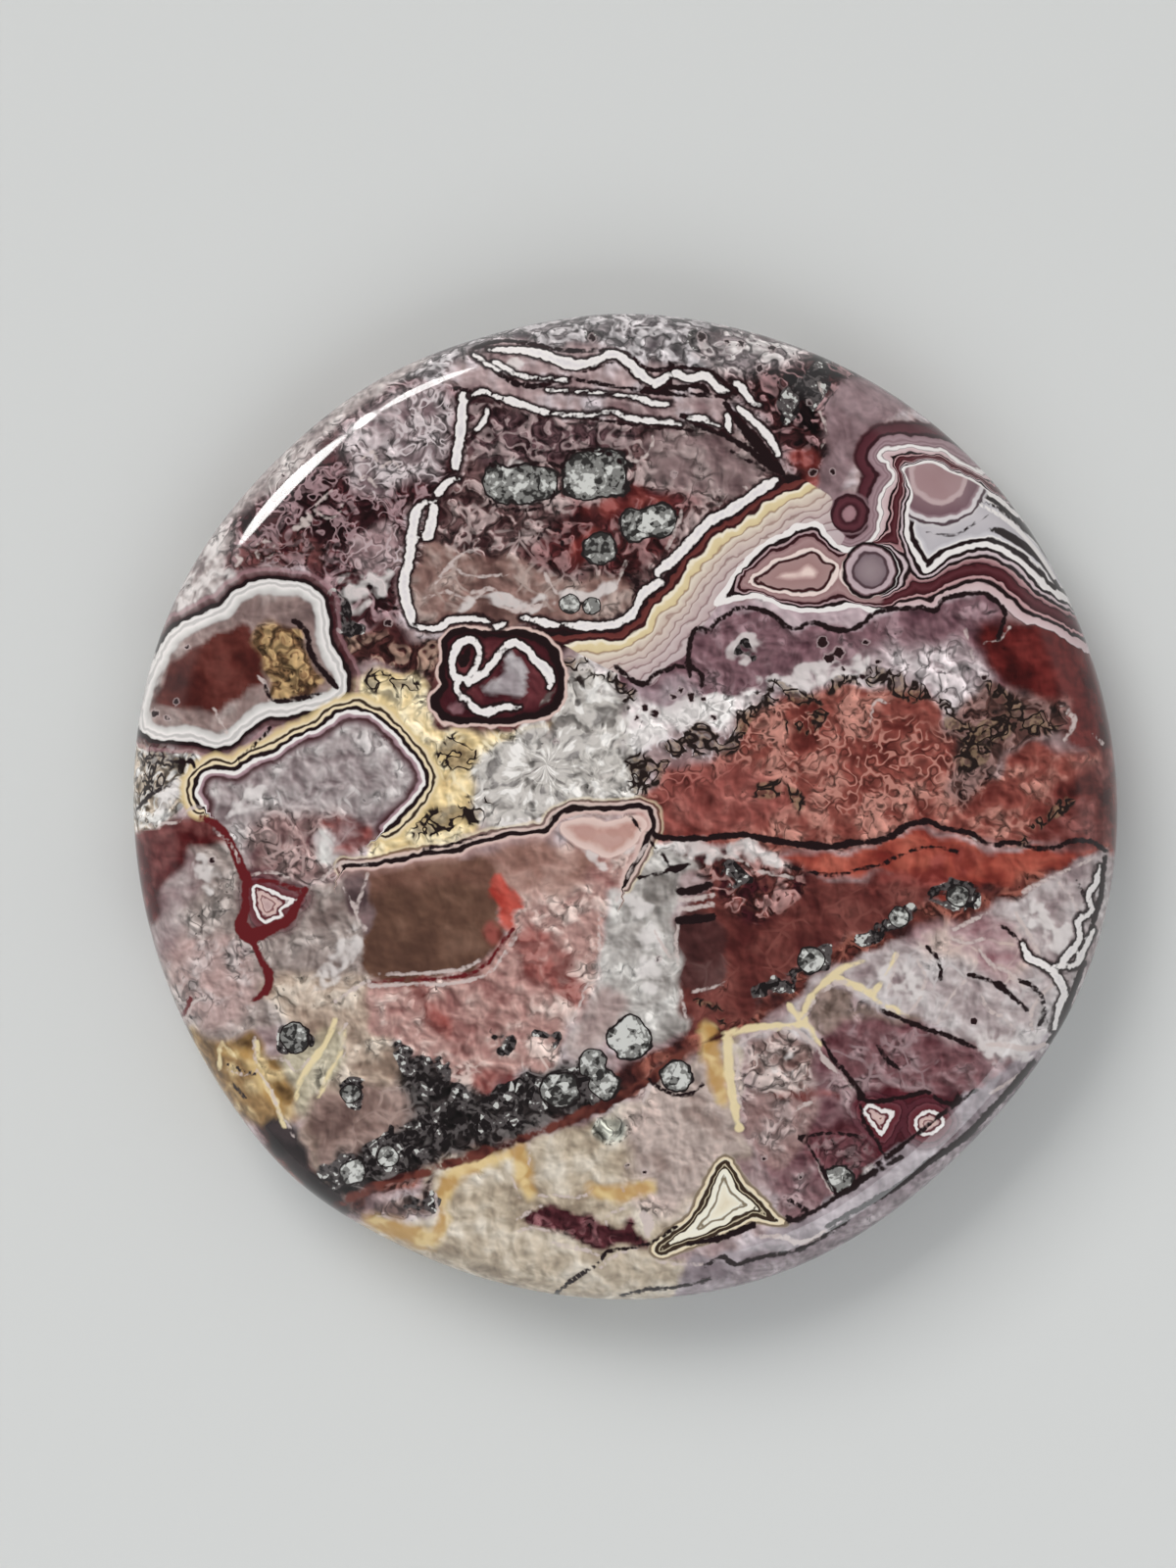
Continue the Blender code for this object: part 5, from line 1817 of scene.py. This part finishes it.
def crystal_rays(paint, loose):
    """Noise drawn out into rays round the middle of the white crystals."""
    inputs = {0: loose, 1: RAY_MIDDLE}
    outward = paint.node("VectorMath", inputs, operation="SUBTRACT").outputs[0]
    parts = paint.node("SeparateXYZ", {0: outward})
    angle = paint.math("ARCTAN2", parts.outputs["Y"], parts.outputs["X"])
    length = paint.node("VectorMath", {0: outward}, operation="LENGTH")
    along = paint.times(length.outputs["Value"], RAY_STEPS)
    place = paint.node("CombineXYZ", {"X": paint.times(angle, RAYS_ROUND), "Y": along})
    inputs = {"Vector": place.outputs[0], "Scale": 1.0, "Detail": RAY_DETAIL}
    return paint.node("TexNoise", inputs).outputs["Fac"]


def stain_level(paint, stain, noise):
    """How much of a pigment there is, broken up by noise, most of all at its edge."""
    name, lift = stain[:2]
    return paint.times(paint.field(name), paint.scaled(noise, lift, STAIN_DROP))


def stained(paint, colour, stain, above, noise):
    """The colour with a patch of another one over it."""
    low, high, cover = stain[2:]
    share = paint.rise(stain_level(paint, stain, noise), low, high)
    return paint.over(colour, above, paint.times(share, cover))


def rough_veins(paint, colour, vein, above, noise):
    """The colour with soft veins over it, whose edges noise pushes in and out."""
    name, push, shift, outer, inner, cover = vein
    away = paint.add(paint.field(name), paint.scaled(noise, push, shift))
    return paint.over(colour, above, paint.times(paint.rise(away, outer, inner), cover))


def pigments(paint, colour, noises, tint, rays):
    """Patches of white, red, crystal, olive and black, and the ochre, cream and brown veins.

    The olive patches have a dark net over them."""
    fine, _, specks, strokes = noises
    colour = stained(paint, colour, WHITE_STAIN, MILKY_WHITE, fine)
    colour = rough_veins(paint, colour, OCHRE_VEIN, paint.toned(strokes, OCHRE_TONES), fine)
    colour = rough_veins(paint, colour, CREAM_VEIN, CREAM_VEIN_COLOUR, fine)
    colour = stained(paint, colour, RED_STAIN, paint.toned(fine, RED_TONES), strokes)
    colour = stained(paint, colour, DRUSE_STAIN, paint.toned(rays, DRUSE_TONES), fine)
    colour = stained(paint, colour, OLIVE_STAIN, paint.toned(specks, OLIVE_TONES), fine)
    net = paint.most(paint.near(fine, *OLIVE_NET), paint.near(strokes, *OLIVE_NET_ACROSS))
    level = stain_level(paint, OLIVE_STAIN, fine)
    net = paint.times(net, paint.rise(level, *OLIVE_NET_RISE))
    colour = paint.over(colour, OLIVE_NET_COLOUR, net)
    colour = stained(paint, colour, BLACK_STAIN, paint.toned(tint, BLACK_TONES), fine)
    return rough_veins(paint, colour, BROWN_VEIN, paint.toned(strokes, BROWN_TONES), fine)


def orbs_and_pores(paint, colour, noises, tint):
    """Dark-rimmed orbs full of crystals, and small dark pores with a pale rim."""
    fine, _, specks, _ = noises
    away = paint.add(paint.field("orbs"), paint.scaled(fine, *ORB_WAVE))
    colour = paint.over(colour, ORB_RIM_COLOUR, paint.rise(away, *ORB_RIM_RISE))
    shade = paint.scaled(paint.rise(away, *ORB_MIDDLE_RISE), *ORB_SHADE)
    tint = paint.add(paint.add(tint, shade), paint.field("orb_light"))
    crystals = paint.toned(tint, CRYSTAL_TONES)
    colour = paint.over(colour, crystals, paint.rise(away, *ORB_RISE))
    away = paint.add(paint.field("pores"), paint.scaled(specks, *PORE_WAVE))
    halo = paint.times(paint.rise(away, *PORE_HALO_RISE), PORE_HALO_COVER)
    colour = paint.over(colour, PORE_HALO_COLOUR, halo)
    return paint.over(colour, PORE_COLOUR, paint.rise(away, *PORE_RISE))


def banded(paint, colour, distance, stops, within=None):
    """The colour with bands over it. The output within, if any, says where they show."""
    above, cover = paint.bands(distance, stops)
    if within is not None:
        cover = paint.times(cover, within)
    return paint.over(colour, above, cover)


def lace(paint, colour, wave, rough):
    """The lace agate: bands between its kernels and the bright line round them."""

    def waved(name, push=wave):
        return paint.add(paint.field(name), push)

    top = waved("lace_top", paint.add(wave, rough))
    colour = banded(paint, colour, top, LACE_TOP_BANDS, paint.field("near_lace_top"))
    colour = banded(paint, colour, waved("lace_lobe"), LACE_LOBE_BANDS)
    fringe = waved("fringe", paint.times(wave, FRINGE_WAVE))
    shown = paint.rise(paint.field("fringe_ground"), *FRINGE_EDGE_RISE)
    colour = banded(paint, colour, fringe, FRINGE_BANDS, shown)

    left = waved("lace_left")
    right = waved("lace_right")
    eye = waved("lace_eye")
    edge = waved("lace_edge")
    kernel = paint.least(paint.least(left, right), paint.add(eye, -LACE_EYE_RADIUS))
    kernel = paint.most(kernel, 0.0)
    to_edge = paint.most(paint.times(edge, -1.0), LEAST_EDGE_DISTANCE)
    share = paint.math("DIVIDE", kernel, paint.add(kernel, to_edge))
    dark_bands, _ = paint.bands(share, LACE_DARK_BANDS)
    pink_bands, _ = paint.bands(share, LACE_PINK_BANDS)
    side = paint.rise(paint.math("SUBTRACT", right, left), *LACE_SIDE_RISE)
    both = paint.over(dark_bands, pink_bands, side)
    colour = paint.over(colour, both, paint.rise(edge, *LACE_EDGE_RISE))
    colour = paint.over(colour, WHITE, paint.times(paint.near(edge, *LACE_EDGE_LINE), side))
    colour = banded(paint, colour, left, LACE_LEFT_BANDS)
    colour = banded(paint, colour, right, LACE_RIGHT_BANDS)
    shown = paint.rise(paint.field("lace_right"), *PINK_EYE_EDGE_RISE)
    colour = banded(paint, colour, waved("pink_eye"), PINK_EYE_BANDS, shown)
    black = waved("lace_black", paint.times(wave, LACE_LINE_WAVE))
    colour = paint.over(colour, INK, paint.rise(black, *LACE_LINE_RISE))
    white = paint.rise(paint.field("lace_white"), *LACE_LINE_RISE)
    colour = paint.over(colour, WHITE, white)
    return banded(paint, colour, eye, LACE_EYE_BANDS)


def fragments(paint, colour, wave, fine_wave):
    """The banded rims of the single fragments and of the small eyes."""
    for name, stops, push in (
        ("egg", EGG_BANDS, wave),
        ("shield", SHIELD_BANDS, wave),
        ("ring", RING_BANDS, wave),
        ("block", BLOCK_BANDS, wave),
        ("lobe", LOBE_BANDS, wave),
        ("triangle", TRIANGLE_BANDS, wave),
        ("eyes", EYE_BANDS, fine_wave),
    ):
        within = paint.field("near_" + name) if name in SIDE_FIELDS else None
        away = paint.add(paint.field(name), push)
        colour = banded(paint, colour, away, stops, within)
    return colour


def veins(paint, colour, fine_wave, rough):
    """The red, pale and dark lines, and the white veins over them."""

    def edge(name):
        return paint.add(paint.field(name), fine_wave)

    red = paint.rise(edge("red_lines"), *RED_LINE_RISE)
    colour = paint.over(colour, RED_LINE_COLOUR, red)
    pale = paint.times(paint.rise(edge("pale_lines"), *PALE_LINE_RISE), PALE_LINE_COVER)
    colour = paint.over(colour, PALE_LINE_COLOUR, pale)
    colour = paint.over(colour, INK, paint.rise(edge("dark_lines"), *DARK_LINE_RISE))
    ragged = paint.add(edge("white_veins"), paint.times(rough, VEIN_ROUGHNESS))
    return banded(paint, colour, ragged, WHITE_VEIN_BANDS)


def wave_of(paint, noise, reach):
    """Noise as a push of up to about reach picture units either way."""
    return paint.times(paint.add(noise, -NOISE_MIDDLE), reach * NOISE_SPAN)


def agate_material():
    material = bpy.data.materials.new("polished_agate")
    paint = Paint(material)
    loose = paint.stirred_place()
    fine = paint.noise(*FINE, loose)
    coarse = paint.noise(*COARSE)
    specks = paint.noise(*SPECKS)
    strokes = paint.noise(*STROKES, loose)
    noises = (fine, coarse, specks, strokes)
    curls = paint.noise(*CURLS, loose)
    # The fine noise a step away, taken from the fine noise itself: a painted relief shade,
    # lighter and darker on opposite sides of each lump.
    beside = paint.noise(*FINE, paint.moved_place(loose, RELIEF_SHADE_STEP))
    painted_relief_shade = paint.math("SUBTRACT", fine, beside)
    wave = wave_of(paint, fine, BAND_WAVE)
    by_specks, by_fine = LINE_WAVES
    fine_wave = paint.add(wave_of(paint, specks, by_specks), wave_of(paint, fine, by_fine))
    rough = wave_of(paint, curls, RAGGED_WAVE)
    tint = crystal_tint(paint, noises, loose)

    colour = ground_colour(paint, noises, painted_relief_shade)
    colour = grains_and_loops(paint, colour, noises, loose, curls)
    colour = pigments(paint, colour, noises, tint, crystal_rays(paint, loose))
    colour = orbs_and_pores(paint, colour, noises, tint)
    colour = lace(paint, colour, wave, rough)
    colour = fragments(paint, colour, wave, fine_wave)
    colour = veins(paint, colour, fine_wave, rough)
    inputs = {"Strength": RELIEF_STRENGTH, "Distance": RELIEF_DEPTH, "Height": coarse}
    bump = paint.node("Bump", inputs)
    paint.join(colour, paint.shader.inputs["Base Color"])
    paint.join(ROUGHNESS, paint.shader.inputs["Roughness"])
    paint.join(REFRACTION, paint.shader.inputs["IOR"])
    paint.join(bump.outputs["Normal"], paint.shader.inputs["Normal"])
    return material


def add_to_scene(name, data):
    """A new object with this data, in the scene."""
    made = bpy.data.objects.new(name, data)
    bpy.context.scene.collection.objects.link(made)
    return made


def add_camera():
    data = bpy.data.cameras.new("camera")
    half_view = PICTURE_HEIGHT / 2 * MM_PER_UNIT / CAMERA_HEIGHT
    data.sensor_width = SENSOR_SIZE
    data.lens = SENSOR_SIZE / 2 / half_view
    data.clip_start = CLIP_START
    data.clip_end = CLIP_END
    camera = add_to_scene("camera", data)
    camera.location = [c * METRES_PER_MM for c in camera_spot()]
    bpy.context.scene.camera = camera


def stone_object(points, faces):
    mesh = bpy.data.meshes.new("agate_stone")
    mesh.from_pydata((points * METRES_PER_MM).tolist(), [], faces)
    mesh.update()
    mesh.shade_smooth()
    return add_to_scene("agate_stone", mesh)


def plain_material(name, colour, roughness):
    material = bpy.data.materials.new(name)
    material.use_nodes = True
    shader = material.node_tree.nodes["Principled BSDF"]
    shader.inputs["Base Color"].default_value = (*colour, 1.0)
    shader.inputs["Roughness"].default_value = roughness
    return material


def add_floor():
    far = FLOOR_REACH
    mesh = bpy.data.meshes.new("floor")
    corners = [(-far, -far, 0), (far, -far, 0), (far, far, 0), (-far, far, 0)]
    mesh.from_pydata(corners, [], [(0, 1, 2, 3)])
    mesh.materials.append(plain_material("paper", FLOOR_COLOUR, FLOOR_ROUGHNESS))
    add_to_scene("floor", mesh)


def add_light(name, shape, direction, elevation, distance, size, colour, power, lights):
    """A flat light aimed at the stone, which lights its gloss or the matt surfaces."""
    data = bpy.data.lights.new(name, "AREA")
    data.shape = shape
    data.size = size[0] * METRES_PER_MM
    data.size_y = size[1] * METRES_PER_MM
    data.color = colour
    data.energy = power
    light = add_to_scene(name, data)
    turn = math.radians(direction)
    lift = math.radians(elevation)
    reach = distance * METRES_PER_MM
    light.location = (
        reach * math.cos(lift) * math.cos(turn),
        reach * math.cos(lift) * math.sin(turn),
        reach * math.sin(lift),
    )
    light.rotation_euler = (math.pi / 2 - lift, 0.0, turn + math.pi / 2)
    light.visible_diffuse = lights == "matt"
    light.visible_glossy = lights == "gloss"


def add_world():
    """Even light from all round, and less of it from straight above the stone."""
    world = bpy.data.worlds.new("room")
    world.use_nodes = True
    tree = world.node_tree
    place = tree.nodes.new("ShaderNodeTexCoord")
    parts = tree.nodes.new("ShaderNodeSeparateXYZ")
    tree.links.new(place.outputs["Generated"], parts.inputs[0])
    spread = tree.nodes.new("ShaderNodeMapRange")
    tree.links.new(parts.outputs["Z"], spread.inputs["Value"])
    spread.inputs["From Min"].default_value = OVERHEAD_FROM
    spread.inputs["From Max"].default_value = OVERHEAD_FULL
    spread.inputs["To Min"].default_value = ROOM_LIGHT
    spread.inputs["To Max"].default_value = ROOM_LIGHT_OVERHEAD
    tree.links.new(spread.outputs["Result"], tree.nodes["Background"].inputs["Strength"])
    tree.nodes["Background"].inputs["Color"].default_value = (1.0, 1.0, 1.0, 1.0)
    bpy.context.scene.world = world


def main():
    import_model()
    bpy.context.scene.view_settings.view_transform = "Standard"
    points, faces = stone_points()
    stone = stone_object(points, faces)
    store_fields(stone.data, *pattern_fields(points))
    stone.data.materials.append(agate_material())
    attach(stone, "root")
    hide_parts(STONE_NODE)
    add_camera()
    add_floor()
    add_world()
    for light in LIGHTS:
        add_light(*light)


main()
